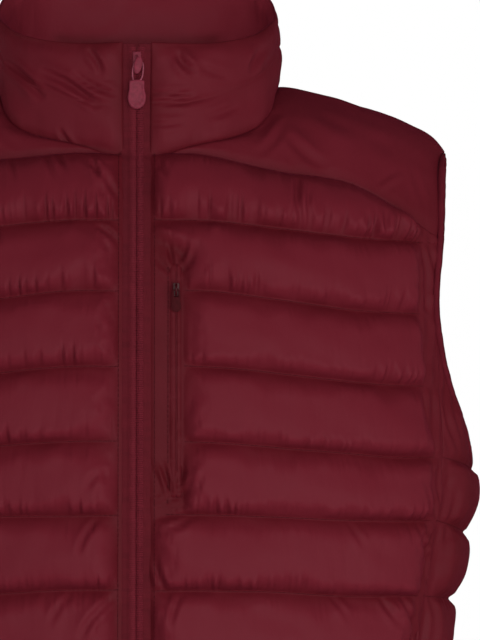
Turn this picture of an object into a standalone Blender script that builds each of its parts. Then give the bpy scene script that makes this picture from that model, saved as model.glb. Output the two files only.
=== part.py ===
"""Quilted puffer vest, zipped shut and filled out as if worn, hollow inside.

Metres, +Z up, the wearer faces -Y and the wearer's left is +X. The origin is where the
shoulders carry the vest: midway between the two sides of the neck, at the height of the
shoulder line's inner end.

The torso is one smooth hollow form: an oval section for each height, closed over the top
by a rounded shoulder. A place on it has two coordinates. "x" is the distance from the
centre. "roll" is how far the place lies down from the shoulder ridge: positive at the
front, negative at the back, in radians while the shoulder still curves. Each panel is a
grid of such places. Its plain inside lies on the form, and its outside stands off it by
a thin wall at the seams and by a full puff in the middle of each baffle.
"""
import bpy
import bmesh
import math
from mathutils import Matrix, Vector

MM = 0.001

# ---------------------------------------------------------------- driving dimensions

SEAM_WALL = 2.0 * MM          # wall where the quilting is stitched through
BODY_PUFF = 9.5 * MM          # how far a baffle's crest stands above that
YOKE_PUFF = 8.0 * MM
COLLAR_PUFF = 4.5 * MM
BAFFLE_DEPTH = 49.0 * MM      # usual distance between two quilting seams
PUFF_FADE = 26.0 * MM         # puff fades out over this distance from a panel's side seams
SIDE_PUFF_FADE = 18.0 * MM    # the same on the narrower side panels
UNDER_ARM_PUFF = 0.5          # share of the full puff in the first baffle under the arm
SEAM_GAP = 0.4 * MM           # between two pieces that are sewn together
LEAST_BAFFLE = 5.0 * MM       # depth of a baffle where the armhole cuts into it

SHOULDER_ROUND = 110.0 * MM   # height over which the shoulder rounds into the chest
OVAL_POWER = 2.6              # 2 is an ellipse, more is boxier

# The form's oval at each height.
FORM_COLUMNS = ("height", "half_width", "front_depth", "back_depth")
FORM = (
    (0.050, 0.2200, 0.0780, 0.0860),
    (-0.050, 0.2340, 0.0925, 0.1000),
    (-0.075, 0.2325, 0.0995, 0.1045),
    (-0.100, 0.2275, 0.1065, 0.1080),
    (-0.150, 0.2180, 0.1165, 0.1120),
    (-0.200, 0.2210, 0.1210, 0.1135),
    (-0.250, 0.2295, 0.1230, 0.1135),
    (-0.300, 0.2270, 0.1230, 0.1120),
    (-0.360, 0.2145, 0.1215, 0.1090),
    (-0.430, 0.2085, 0.1195, 0.1070),
    (-0.520, 0.2090, 0.1180, 0.1090),
    (-0.600, 0.2140, 0.1185, 0.1130),
    (-0.660, 0.2170, 0.1190, 0.1150),
)

# Height of the shoulder ridge at each distance from the centre.
RIDGE_COLUMNS = ("x", "height")
RIDGE = (
    (0.000, 0.030),
    (0.050, 0.014),
    (0.100, -0.003),
    (0.150, -0.0200),
    (0.190, -0.0318),
    (0.205, -0.0375),
    (0.215, -0.0470),
    (0.230, -0.0720),
)

# Quilting seams, from the first one under the yoke to the hem: height at the centre,
# how much lower they are at the side seam, and how much lower again under the arm.
SEAMS = (
    (-0.1032, 0.0116, 0.0000),
    (-0.1510, 0.0125, 0.0000),
    (-0.2009, 0.0120, 0.0000),
    (-0.2508, 0.0100, 0.0070),
    (-0.3000, 0.0035, 0.0085),
    (-0.3499, 0.0045, 0.0030),
    (-0.3984, 0.0030, 0.0030),
    (-0.4470, 0.0020, 0.0030),
    (-0.4955, 0.0010, 0.0020),
    (-0.5440, 0.0000, 0.0010),
    (-0.5926, 0.0000, 0.0000),
    (-0.6410, 0.0000, 0.0000),
)
ARM_SEAM = 3                  # index of the seam that passes under the armhole
DROP_START = 30 * MM          # the seams bend down between these distances from the centre
DROP_END = 180 * MM
BACK_TOP_SEAM = (-0.0560, 0.0100, 0.0000)

# The front yoke seams, from beside the collar to the armhole. The wearer's right one
# is pulled up a little.
YOKE_SEAM_COLUMNS = ("x", "left_height", "right_height")
YOKE_SEAM = (
    (0.009, -0.0577, -0.0577),
    (0.024, -0.0562, -0.0562),
    (0.044, -0.0568, -0.0560),
    (0.072, -0.0628, -0.0585),
    (0.100, -0.0688, -0.0610),
    (0.128, -0.0715, -0.0660),
    (0.149, -0.0766, -0.0730),
    (0.177, -0.0915, -0.0890),
    (0.206, -0.1104, -0.1104),
)
YOKE_TIP_X = 0.024
SHOULDER_SEAM_ROLL = -0.26    # the shoulder seam lies this far behind the ridge

# Armhole: an oval seen from the side, laid onto the form.
ARMHOLE_MIDDLE = -0.1575
ARMHOLE_HALF_HEIGHT = 0.1105
ARMHOLE_HALF_DEPTH = 0.0600
ARMHOLE_POWER = 2.3

# Distance of the side seams in front of and behind the middle of the side.
SIDE_SEAM_COLUMNS = ("height", "depth")
SIDE_SEAM = (
    (-0.180, 0.0590),
    (-0.205, 0.0635),
    (-0.235, 0.0685),
    (-0.265, 0.0710),
    (-0.400, 0.0710),
    (-0.660, 0.0730),
)

# Collar: its base lies on the form, its rim is free. "turn" goes round the neck in
# degrees, from the front over the wearer's left to the back.
COLLAR_BASE_COLUMNS = ("turn", "x", "roll_degrees")
COLLAR_BASE = (
    (0, 0.0000, 77.4),
    (28, 0.0440, 65.9),
    (52, 0.0780, 52.8),
    (70, 0.0910, 36.4),
    (90, 0.0965, 2.0),
    (112, 0.0915, -20.0),
    (134, 0.0750, -35.0),
    (156, 0.0440, -44.0),
    (180, 0.0000, -47.0),
)
COLLAR_RIM_COLUMNS = ("turn", "x", "y", "height", "middle_seam")
COLLAR_RIM = (
    (0, 0.0000, -0.0960, 0.0195, 0.44),
    (28, 0.0460, -0.0890, 0.0195, 0.46),
    (52, 0.0790, -0.0650, 0.0280, 0.55),
    (70, 0.0940, -0.0350, 0.0410, 0.60),
    (90, 0.0980, 0.0000, 0.0520, 0.60),
    (112, 0.0930, 0.0320, 0.0690, 0.58),
    (134, 0.0750, 0.0550, 0.0800, 0.55),
    (156, 0.0420, 0.0670, 0.0850, 0.52),
    (180, 0.0000, 0.0710, 0.0870, 0.50),
)

# Front zip.
PLACKET_EDGE = 9.0 * MM       # the fronts and the collar stop this far from the centre
PLACKET_FLAT = 2.0 * MM       # cloth beside that edge that has no puff
CHAIN_HALF_WIDTH = 2.7 * MM
CHAIN_THICKNESS = 2.0 * MM
TAPE_THICKNESS = 1.0 * MM
ZIP_TOP = 0.0185
SLIDER_HEIGHT = 0.0064        # where the pull's bar sits
ZIP_PARTING = 0.0030          # the chain ends this far below it
COLLAR_BEND = 16.0 * MM       # over this height the zip turns from the chest to the collar
HEM_HEIGHT = SEAMS[-1][0]
BINDING_DEPTH = 5.8 * MM
BINDING_THICKNESS = 2.8 * MM
BINDING_SHAPE = (             # its section, as shares of the depth and the thickness
    (0.0, 0.0), (0.75, -0.08), (1.0, 0.35), (0.8, 0.95), (0.3, 1.1), (0.0, 0.75),
)

# Chest pocket zip, on the wearer's left.
POCKET_X = 0.0264
POCKET_TOP = -0.132
POCKET_BOTTOM = -0.288
POCKET_HALF_WIDTH = 2.4 * MM
POCKET_THICKNESS = 1.4 * MM
POCKET_FLAT = 8.0 * MM        # cloth beside the pocket zip that has no puff
POCKET_FLAT_ABOVE = 20.0 * MM # and how far that flat cloth goes on past its ends
POCKET_FLAT_BELOW = 18.0 * MM
POCKET_FLAT_BLEND = 14.0 * MM
POCKET_SLIDER = -0.1500

# Sliders, their bails and pulls.
PLATE = 1.0 * MM              # thickness of a slider's plate
SLIDER_HALF_WIDTH = 2.8 * MM
SLIDER_HALF_HEIGHT = 6.2 * MM
SLIDER_WAIST = 0.15           # its two plates join above this share of the half height
POCKET_SLIDER_HALF_WIDTH = 2.3 * MM
POCKET_SLIDER_HALF_HEIGHT = 4.6 * MM
POCKET_SLIDER_LIFT = 0.8 * MM
BAR_RADIUS = 0.6 * MM         # half the thickness of a pull
BAIL_GAP = 1.3 * MM           # from the slider's face to the middle of the pull's bar
BAIL_CLEARANCE = 0.6 * MM     # between the pull's bar and the bail
BAIL_FOOT = 0.4 * MM          # the bail's feet reach this far into the plate
BAIL_WIRE = 1.3 * MM
BAIL_HALF_HEIGHT = 3.9 * MM
BAIL_HOLE_HALF = 2.5 * MM
# loop width, loop length, tab width, tab length
ZIP_PULL = (7.6 * MM, 13.4 * MM, 12.4 * MM, 19.5 * MM)
POCKET_PULL = (5.4 * MM, 6.4 * MM, 6.6 * MM, 8.5 * MM)

# Bottom stop of the front zip.
ZIP_BOX_SIZE = (11.0 * MM, 3.2 * MM, 8.0 * MM)
ZIP_BOX_DROP = 4.4 * MM
ZIP_BOX_EDGE = 0.6 * MM

# Grid steps.
ROW_STEPS = (0.0, 0.18, 0.5, 0.82)
FRONT_COLUMNS = 12
BACK_COLUMNS = 22
SHOULDER_COLUMNS = 5          # columns of the back along one shoulder seam
SIDE_COLUMNS = 16
YOKE_ROWS = 16
YOKE_COLUMNS = 12
COLLAR_COLUMNS = 44
BINDING_STATIONS = 48
HEM_STATIONS = 72
STRIP_STATIONS = 30
POCKET_STATIONS = 12


# ---------------------------------------------------------------- reading the tables

def read(table, columns, at, column):
    """Smooth value of a column at a place between the rows, by the first column."""
    index = columns.index(column)
    rising = table[0][0] < table[-1][0]
    rows = table if rising else tuple(reversed(table))
    at = min(max(at, rows[0][0]), rows[-1][0])
    low = 0
    while low < len(rows) - 2 and rows[low + 1][0] < at:
        low += 1
    high = low + 1
    before = rows[max(low - 1, 0)]
    after = rows[min(high + 1, len(rows) - 1)]
    start, end = rows[low], rows[high]
    span = end[0] - start[0]
    start_slope = (end[index] - before[index]) / (end[0] - before[0])
    end_slope = (after[index] - start[index]) / (after[0] - start[0])
    t = (at - start[0]) / span
    return (
        (2 * t ** 3 - 3 * t ** 2 + 1) * start[index]
        + (t ** 3 - 2 * t ** 2 + t) * span * start_slope
        + (3 * t ** 2 - 2 * t ** 3) * end[index]
        + (t ** 3 - t ** 2) * span * end_slope
    )


def read_round(table, columns, turn, column):
    """As read, for a table that goes half round the neck and is mirrored there."""
    sign = -1 if column == "x" else 1
    index = columns.index(column)
    first, last = table[1], table[-2]
    mirrored = [(-first[0],) + first[1:]] + list(table) + [(360 - last[0],) + last[1:]]
    rows = [list(row) for row in mirrored]
    rows[0][index] *= sign
    rows[-1][index] *= sign
    turn = turn % 360
    if turn > 180:
        return sign * read(rows, columns, 360 - turn, column)
    return read(rows, columns, turn, column)


def mix(start, end, t):
    return start + (end - start) * t


def ease(t):
    t = min(max(t, 0.0), 1.0)
    return t * t * (3 - 2 * t)


# ---------------------------------------------------------------- the torso form

def ridge(x):
    return read(RIDGE, RIDGE_COLUMNS, abs(x), "height")


def oval(z, side):
    """Half width and depth of the form at a height; side is -1 at the front, 1 at the back."""
    depth = "front_depth" if side < 0 else "back_depth"
    return read(FORM, FORM_COLUMNS, z, "half_width"), read(FORM, FORM_COLUMNS, z, depth)


def form_depth(x, z, side):
    """Distance of the form from the plane between front and back."""
    half_width, depth = oval(z, side)
    across = 1 - (abs(x) / half_width) ** OVAL_POWER
    down = (ridge(x) - z) / SHOULDER_ROUND
    if across <= 0 or down <= 0:
        return 0.0
    rounding = 1.0 if down >= 1 else math.sqrt(1 - (1 - down) ** 2)
    return depth * across ** (1 / OVAL_POWER) * rounding


def on_form(x, roll):
    """The point of the form at these two coordinates."""
    side = -1 if roll >= 0 else 1
    size = abs(roll)
    down = 1 - math.cos(size) if size < math.pi / 2 else 1 + size - math.pi / 2
    z = ridge(x) - SHOULDER_ROUND * down
    return Vector((x, side * form_depth(x, z, side), z))


def roll_at(x, z, side=-1):
    """The roll of a height; negative at the back."""
    down = max((ridge(x) - z) / SHOULDER_ROUND, 0.0)
    size = math.acos(1 - down) if down < 1 else math.pi / 2 + down - 1
    return -side * size


def form_x(y, z):
    """Half width of the form at a depth and a height, found by halving."""
    side = -1 if y < 0 else 1
    near, far = 0.0, 0.26
    for _ in range(40):
        middle = (near + far) / 2
        if form_depth(middle, z, side) > abs(y):
            near = middle
        else:
            far = middle
    return (near + far) / 2


def outsideness(point):
    """Zero on the form, positive outside it."""
    x, y, z = point
    half_width, depth = oval(z, -1 if y < 0 else 1)
    across = 1 - (abs(x) / half_width) ** OVAL_POWER
    bulge = math.copysign(abs(across) ** (2 / OVAL_POWER), across)
    shoulder = max(0.0, 1 - (ridge(x) - z) / SHOULDER_ROUND)
    return (y / depth) ** 2 - bulge * (1 - shoulder ** 2)


def form_normal(point):
    """Outward direction of the form at a point on it."""
    step = 0.2 * MM
    slopes = []
    for axis in range(3):
        ahead, behind = point.copy(), point.copy()
        ahead[axis] += step
        behind[axis] -= step
        slopes.append(outsideness(ahead) - outsideness(behind))
    return Vector(slopes).normalized()


# ---------------------------------------------------------------- seams and edges

def seam_height(row, x):
    centre, side_drop, _ = row
    return centre - side_drop * ease((abs(x) - DROP_START) / (DROP_END - DROP_START))


def yoke_seam_height(x, hand):
    column = "left_height" if hand > 0 else "right_height"
    return read(YOKE_SEAM, YOKE_SEAM_COLUMNS, x, column)


def armhole_depth(z):
    """Half depth of the armhole at a height."""
    reach = min(abs(z - ARMHOLE_MIDDLE) / ARMHOLE_HALF_HEIGHT, 1.0)
    return ARMHOLE_HALF_DEPTH * (1 - reach ** ARMHOLE_POWER) ** (1 / ARMHOLE_POWER)


def side_seam_depth(z):
    return read(SIDE_SEAM, SIDE_SEAM_COLUMNS, z, "depth")


def panel_edge_x(z, side):
    """Where a front or back panel ends at a height: at the armhole, then at the side seam."""
    armhole = armhole_depth(z)
    if z > SIDE_SEAM[0][0]:
        depth = armhole
    else:
        depth = max(side_seam_depth(z), armhole)
    return form_x(side * depth, z) - SEAM_GAP / 2


def armhole_point(angle):
    """Point of the armhole; angle 0 is its top, and it is positive at the front."""
    power = 2 / ARMHOLE_POWER
    y = -ARMHOLE_HALF_DEPTH * math.copysign(abs(math.sin(angle)) ** power, math.sin(angle))
    z = ARMHOLE_MIDDLE + ARMHOLE_HALF_HEIGHT * math.copysign(
        abs(math.cos(angle)) ** power, math.cos(angle))
    return Vector((form_x(y, z), y, z))


def form_place(point):
    """Form coordinates of a point on the form."""
    return point.x, roll_at(point.x, point.z, -1 if point.y < 0 else 1)


def collar_base_place(turn):
    x = read_round(COLLAR_BASE, COLLAR_BASE_COLUMNS, turn, "x")
    roll = math.radians(read_round(COLLAR_BASE, COLLAR_BASE_COLUMNS, turn, "roll_degrees"))
    return x, roll


# ---------------------------------------------------------------- puff

def band_puff(v, height):
    """Puff of a baffle, 0 at its seams and 1 at its crest, less where it is narrow."""
    crest = max(1 - abs(2 * v - 1) ** 2.2, 0.0) ** 0.62
    return crest * min(1.0, height / BAFFLE_DEPTH) ** 0.7


def side_fade(distance, fade=PUFF_FADE):
    return math.sin(min(max(distance / fade, 0.0), 1.0) * math.pi / 2)


def placket_flat(hand, z):
    """How far from the centre the flat cloth beside the zip reaches."""
    plain = PLACKET_EDGE + PLACKET_FLAT
    if hand < 0:
        return plain
    beside_pocket = ease((POCKET_TOP + POCKET_FLAT_ABOVE - z) / POCKET_FLAT_BLEND)
    beside_pocket *= ease((z - POCKET_BOTTOM + POCKET_FLAT_BELOW) / POCKET_FLAT_BLEND)
    return mix(plain, POCKET_X + POCKET_FLAT, beside_pocket)


# ---------------------------------------------------------------- building walls

def border_cells(rows, columns, coarse_rows, coarse_columns):
    """Loops of (row, column) round each coarse cell, with every border step kept."""
    loops = []
    for r0, r1 in zip(coarse_rows, coarse_rows[1:]):
        for c0, c1 in zip(coarse_columns, coarse_columns[1:]):
            top = range(c0, c1) if r0 == 0 else (c0,)
            right = range(r0, r1) if c1 == columns - 1 else (r0,)
            bottom = range(c1, c0, -1) if r1 == rows - 1 else (c1,)
            left = range(r1, r0, -1) if c0 == 0 else (r1,)
            loop = [(r0, c) for c in top] + [(r, c1) for r in right]
            loop += [(r1, c) for c in bottom] + [(r, c0) for r in left]
            inner = [place for place in loop
                     if place[0] not in (0, rows - 1) and place[1] not in (0, columns - 1)]
            start = loop.index(inner[0])
            loops.append(loop[start:] + loop[:start])
    return loops


def wall(name, inner, outer, coarse_rows, coarse_columns, material):
    """A closed cloth wall between two grids; its inside is built from coarser cells."""
    rows, columns = len(outer), len(outer[0])
    mesh = bmesh.new()
    outside = [[mesh.verts.new(point) for point in line] for line in outer]
    inside = {}

    def inside_vertex(place):
        if place not in inside:
            inside[place] = mesh.verts.new(inner[place[0]][place[1]])
        return inside[place]

    for r in range(rows - 1):
        for c in range(columns - 1):
            mesh.faces.new((outside[r][c], outside[r][c + 1],
                            outside[r + 1][c + 1], outside[r + 1][c]))
    for loop in border_cells(rows, columns, coarse_rows, coarse_columns):
        corners = [inside_vertex(place) for place in loop]
        for second, third in zip(corners[1:], corners[2:]):
            mesh.faces.new((corners[0], third, second))
    border = [(0, c) for c in range(columns)] + [(r, columns - 1) for r in range(1, rows)]
    border += [(rows - 1, c) for c in range(columns - 2, -1, -1)]
    border += [(r, 0) for r in range(rows - 2, 0, -1)]
    for here, there in zip(border, border[1:] + border[:1]):
        mesh.faces.new((outside[here[0]][here[1]], inside_vertex(here),
                        inside_vertex(there), outside[there[0]][there[1]]))
    return finish_mesh(name, mesh, material)


def finish_mesh(name, mesh, material):
    bmesh.ops.recalc_face_normals(mesh, faces=mesh.faces)
    data = bpy.data.meshes.new(name)
    mesh.to_mesh(data)
    mesh.free()
    data.materials.append(material)
    data.shade_smooth()
    part = bpy.data.objects.new(name, data)
    vest.objects.link(part)
    return part


def spread(count, last, step):
    """Every step-th index, with the first and the last."""
    picked = list(range(0, count, step))
    if last - picked[-1] < step:
        picked[-1] = last
    else:
        picked.append(last)
    return picked


def panel(name, places, lifts, band_rows, column_step, material, hand=1):
    """A torso panel from form coordinates and the outside's distance from the form."""
    inner, outer = [], []
    for line, line_lifts in zip(places, lifts):
        base = [on_form(*place) for place in line]
        inner.append([Vector((hand * p.x, p.y, p.z)) for p in base])
        raised = [p + form_normal(p) * lift for p, lift in zip(base, line_lifts)]
        outer.append([Vector((hand * p.x, p.y, p.z)) for p in raised])
    columns = len(inner[0])
    coarse_rows = spread(len(inner), len(inner) - 1, band_rows)
    coarse_columns = spread(columns, columns - 1, column_step)
    return wall(name, inner, outer, coarse_rows, coarse_columns, material)


def band_steps(bands):
    """(band, fraction) of every row of a panel that has this many baffles."""
    steps = [(band, v) for band in range(bands) for v in ROW_STEPS]
    return steps + [(bands - 1, 1.0)]


# ---------------------------------------------------------------- the cloth pieces

def front_panel(hand, material):
    """A quilted front, from the collar and the yoke seam down to the hem."""
    places, lifts = [], []
    for band, v in band_steps(len(SEAMS)):
        upper_row = SEAMS[band - 1] if band else None
        line, line_lifts = [], []
        for column in range(FRONT_COLUMNS + 1):
            s = column / FRONT_COLUMNS
            s = mix(s, ease(s), 0.55)
            edge = panel_edge_x(-0.112, -1)
            for _ in range(4):
                x = mix(PLACKET_EDGE, edge, s)
                if upper_row:
                    top = roll_at(x, seam_height(upper_row, x))
                else:
                    top = roll_at(x, yoke_seam_height(x, hand)) + 2 * SEAM_GAP / SHOULDER_ROUND
                bottom = roll_at(x, seam_height(SEAMS[band], x))
                roll = mix(top, bottom, v)
                edge = panel_edge_x(on_form(x, roll).z, -1)
            z = on_form(x, roll).z
            height = (bottom - top) * SHOULDER_ROUND
            fade = side_fade(x - placket_flat(hand, z)) * side_fade(edge - x)
            line.append((x, roll))
            line_lifts.append(SEAM_WALL + BODY_PUFF * band_puff(v, height) * fade)
        places.append(line)
        lifts.append(line_lifts)
    name = "front_left" if hand > 0 else "front_right"
    return panel(name, places, lifts, len(ROW_STEPS), 3, material, hand)


def shoulder_seam_ends():
    """Form places of the shoulder seam at the collar and at the armhole."""
    low, high = 90.0, 130.0
    for _ in range(30):
        turn = (low + high) / 2
        if collar_base_place(turn)[1] > SHOULDER_SEAM_ROLL:
            low = turn
        else:
            high = turn
    tip = 0.0
    near, far = -0.8, 0.0
    for _ in range(30):
        tip = (near + far) / 2
        if form_place(armhole_point(tip))[1] > SHOULDER_SEAM_ROLL:
            far = tip
        else:
            near = tip
    return turn, tip


def back_panel(material):
    """The quilted back, from the collar and the shoulder seams down to the hem."""
    neck_turn, tip_angle = shoulder_seam_ends()
    neck_x, _ = collar_base_place(neck_turn)
    tip_x = form_place(armhole_point(tip_angle))[0] - SEAM_GAP
    half = BACK_COLUMNS // 2
    neck_columns = half - SHOULDER_COLUMNS
    rows = (BACK_TOP_SEAM,) + SEAMS
    gap = SEAM_GAP / SHOULDER_ROUND
    places, lifts = [], []
    for band, v in band_steps(len(rows)):
        line, line_lifts = [], []
        for column in range(-half, half + 1):
            count = abs(column)
            if count <= neck_columns:
                turn = mix(180.0, neck_turn, count / neck_columns)
                top_x, top = collar_base_place(turn)
            else:
                along = (count - neck_columns) / SHOULDER_COLUMNS
                top_x, top = mix(neck_x, tip_x, along), SHOULDER_SEAM_ROLL
            top -= 2 * gap
            s = mix(count / half, math.sin(count / half * math.pi / 2), 0.35)
            edge = 0.2
            for _ in range(5):
                x = edge * s
                if band:
                    upper = roll_at(x, seam_height(rows[band - 1], x), 1)
                    lower = roll_at(x, seam_height(rows[band], x), 1)
                    roll = mix(upper, lower, v)
                else:
                    upper = top
                    lower = roll_at(x, seam_height(rows[0], x), 1)
                    x = mix(top_x, x, v)
                    roll = mix(upper, lower, v)
                z = on_form(x, roll).z
                seam_z = z if band else seam_height(rows[0], edge)
                edge = panel_edge_x(seam_z, 1)
            height = abs(lower - upper) * SHOULDER_ROUND
            reach = edge if band else mix(tip_x, edge, v)
            fade = side_fade(reach - x)
            line.append((math.copysign(x, column), roll))
            line_lifts.append(SEAM_WALL + BODY_PUFF * band_puff(v, height) * fade)
        places.append(line)
        lifts.append(line_lifts)
    return panel("back", places, lifts, len(ROW_STEPS), 3, material)


def arm_arc_height(across):
    """Height where the armhole crosses a line at this share of the side panel's width."""
    low, high = ARMHOLE_MIDDLE - ARMHOLE_HALF_HEIGHT, SIDE_SEAM[0][0]
    for _ in range(40):
        z = (low + high) / 2
        if armhole_depth(z) > abs(across) * side_seam_depth(z):
            high = z
        else:
            low = z
    return low


def side_panel(hand, material):
    """The quilted side under the arm, from the armhole's lower half to the hem."""
    rows = SEAMS[ARM_SEAM:]
    inner, outer = [], []
    for band, v in band_steps(len(rows)):
        inner_line, outer_line = [], []
        for column in range(SIDE_COLUMNS + 1):
            across = 2 * column / SIDE_COLUMNS - 1
            across = mix(across, math.sin(across * math.pi / 2), 0.6)
            dip = 1 - across * across
            lower_row = rows[band]
            lower = lower_row[0] - lower_row[1] - lower_row[2] * dip
            if band:
                upper_row = rows[band - 1]
                upper = upper_row[0] - upper_row[1] - upper_row[2] * dip
            else:
                upper = arm_arc_height(across) - SEAM_GAP
                lower = min(lower, upper - LEAST_BAFFLE)
            z = mix(upper, lower, v)
            half = side_seam_depth(z) - SEAM_GAP / 2
            y = across * half
            base = Vector((form_x(y, z), y, z))
            fade = side_fade(half - abs(y), SIDE_PUFF_FADE)
            puff = BODY_PUFF * band_puff(v, upper - lower) * fade
            if not band:
                puff *= UNDER_ARM_PUFF
            raised = base + form_normal(base) * (SEAM_WALL + puff)
            inner_line.append(Vector((hand * base.x, base.y, base.z)))
            outer_line.append(Vector((hand * raised.x, raised.y, raised.z)))
        inner.append(inner_line)
        outer.append(outer_line)
    coarse_rows = spread(len(inner), len(inner) - 1, len(ROW_STEPS))
    name = "side_left" if hand > 0 else "side_right"
    return wall(name, inner, outer, coarse_rows, range(0, SIDE_COLUMNS + 1, 4), material)


def yoke(hand, material):
    """The shoulder piece, blended in form coordinates between its four seams."""
    neck_turn, tip_angle = shoulder_seam_ends()
    gap = SEAM_GAP / SHOULDER_ROUND
    tip = (YOKE_TIP_X, roll_at(YOKE_TIP_X, YOKE_SEAM[1][1] + 0.6 * MM))
    tip_turn = 28 * YOKE_TIP_X / COLLAR_BASE[1][1]
    front_z = YOKE_SEAM[-1][1]
    height = (front_z - ARMHOLE_MIDDLE) / ARMHOLE_HALF_HEIGHT
    front_angle = math.acos(height ** (ARMHOLE_POWER / 2))

    def along_collar(v):
        if v == 0:
            return tip
        x, roll = collar_base_place(mix(tip_turn, neck_turn, v))
        away = 2 * gap * math.cos(math.radians(mix(tip_turn, neck_turn, v)))
        return x + 2 * SEAM_GAP, roll + away

    def along_armhole(v):
        x, roll = form_place(armhole_point(mix(front_angle, tip_angle, v)))
        return x - SEAM_GAP, roll

    def along_front(u):
        if u == 0:
            return tip
        x = mix(YOKE_TIP_X, along_armhole(0)[0], u)
        return x, roll_at(x, yoke_seam_height(x, hand)) - 2 * gap

    def along_shoulder(u):
        x = mix(along_collar(1)[0], along_armhole(1)[0], u)
        return x, SHOULDER_SEAM_ROLL + gap

    corners = {(0, 0): tip, (1, 0): along_front(1),
               (0, 1): along_shoulder(0), (1, 1): along_shoulder(1)}
    places, lifts = [], []
    for row in range(YOKE_ROWS + 1):
        v = row / YOKE_ROWS
        line, line_lifts = [], []
        for column in range(YOKE_COLUMNS + 1):
            u = column / YOKE_COLUMNS
            sides = zip(along_collar(v), along_armhole(v), along_front(u), along_shoulder(u))
            place = []
            for axis, (neck, arm, front, shoulder) in enumerate(sides):
                flat = (
                    (1 - u) * (1 - v) * corners[0, 0][axis] + u * (1 - v) * corners[1, 0][axis]
                    + (1 - u) * v * corners[0, 1][axis] + u * v * corners[1, 1][axis]
                )
                place.append(mix(neck, arm, u) + mix(front, shoulder, v) - flat)
            line.append(tuple(place))
            crest = (4 * u * (1 - u)) ** 0.5 * (4 * v * (1 - v)) ** 0.5
            line_lifts.append(SEAM_WALL + YOKE_PUFF * crest)
        places.append(line)
        lifts.append(line_lifts)
    name = "yoke_left" if hand > 0 else "yoke_right"
    return panel(name, places, lifts, 3, 3, material, hand)


def collar_point(turn, up):
    """Point of the collar's stitched surface, from its base to its rim."""
    base = on_form(*collar_base_place(turn))
    rim = Vector([read_round(COLLAR_RIM, COLLAR_RIM_COLUMNS, turn, name)
                  for name in ("x", "y", "height")])
    return base.lerp(rim, up)


def collar_normal(turn, up):
    low, high = max(up - 0.02, 0.0), min(up + 0.02, 1.0)
    across = collar_point(turn + 1, up) - collar_point(turn - 1, up)
    rise = collar_point(turn, high) - collar_point(turn, low)
    return across.cross(rise).normalized()


def collar(material):
    """The stand collar: two baffles outside, plain inside, open at the zip."""
    first = COLLAR_BASE[1][0] * PLACKET_EDGE / COLLAR_BASE[1][1]
    inner, outer = [], []
    for band, v in band_steps(2):
        inner_line, outer_line = [], []
        for column in range(COLLAR_COLUMNS + 1):
            turn = mix(first, 360 - first, column / COLLAR_COLUMNS)
            middle = read_round(COLLAR_RIM, COLLAR_RIM_COLUMNS, turn, "middle_seam")
            up = mix(middle, 1.0, v) if band else mix(0.0, middle, v)
            point = collar_point(turn, up)
            base = collar_point(turn, 0.0)
            rise = (collar_point(turn, 1.0) - base).normalized()
            point = point + rise * 2 * SEAM_GAP * (1 - up)
            normal = collar_normal(turn, up)
            ends = min(turn - first, 360 - first - turn) / COLLAR_BASE[1][0]
            puff = COLLAR_PUFF * band_puff(v, BAFFLE_DEPTH) * side_fade(ends, 0.7)
            inner_line.append(point - normal * SEAM_WALL)
            outer_line.append(point + normal * puff)
        inner.append(inner_line)
        outer.append(outer_line)
    coarse_rows = (0, len(ROW_STEPS), 2 * len(ROW_STEPS))
    coarse_columns = spread(COLLAR_COLUMNS + 1, COLLAR_COLUMNS, 2)
    return wall("collar", inner, outer, coarse_rows, coarse_columns, material)


# ---------------------------------------------------------------- bound edges and strips

def swept(name, sections, closed, material):
    """A band through matching rings of points, closed on itself or with flat ends."""
    mesh = bmesh.new()
    rings = [[mesh.verts.new(point) for point in section] for section in sections]
    pairs = list(zip(rings, rings[1:]))
    if closed:
        pairs.append((rings[-1], rings[0]))
    else:
        mesh.faces.new(rings[0])
        mesh.faces.new(rings[-1])
    for ring, following in pairs:
        for index in range(len(ring)):
            after = (index + 1) % len(ring)
            mesh.faces.new((ring[index], ring[after], following[after], following[index]))
    return finish_mesh(name, mesh, material)


def binding_section(point, away, normal):
    """Ring of the folded binding: flat against the cloth's edge, round at the free edge."""
    start = point + away * SEAM_GAP * 2
    return [start + away * (BINDING_DEPTH * a) + normal * (BINDING_THICKNESS * b)
            for a, b in BINDING_SHAPE]


def armhole_binding(hand, material):
    sections = []
    for station in range(BINDING_STATIONS):
        angle = 2 * math.pi * station / BINDING_STATIONS
        step = 0.02
        point = armhole_point(angle)
        along = (armhole_point(angle + step) - armhole_point(angle - step)).normalized()
        normal = form_normal(point)
        away = along.cross(normal).normalized()
        middle = Vector((point.x, 0.0, ARMHOLE_MIDDLE))
        if away.dot(middle - point) < 0:
            away = -away
        ring = binding_section(point, away, normal)
        sections.append([Vector((hand * p.x, p.y, p.z)) for p in ring])
    name = "armhole_binding_left" if hand > 0 else "armhole_binding_right"
    return swept(name, sections, True, material)


def hem_point(angle):
    """Point of the form at the hem; angle 0 is the front centre."""
    side = -1 if math.cos(angle) > 0 else 1
    half_width, depth = oval(HEM_HEIGHT, side)
    power = 2 / OVAL_POWER
    x = half_width * math.copysign(abs(math.sin(angle)) ** power, math.sin(angle))
    y = side * depth * abs(math.cos(angle)) ** power
    return Vector((x, y, HEM_HEIGHT))


def hem_binding(material):
    start = math.asin((PLACKET_EDGE / oval(HEM_HEIGHT, -1)[0]) ** (OVAL_POWER / 2))
    sections = []
    for station in range(HEM_STATIONS + 1):
        point = hem_point(mix(start, 2 * math.pi - start, station / HEM_STATIONS))
        normal = form_normal(point)
        normal.z = 0
        sections.append(binding_section(point, Vector((0, 0, -1)), normal.normalized()))
    return swept("hem_binding", sections, False, material)


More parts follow.
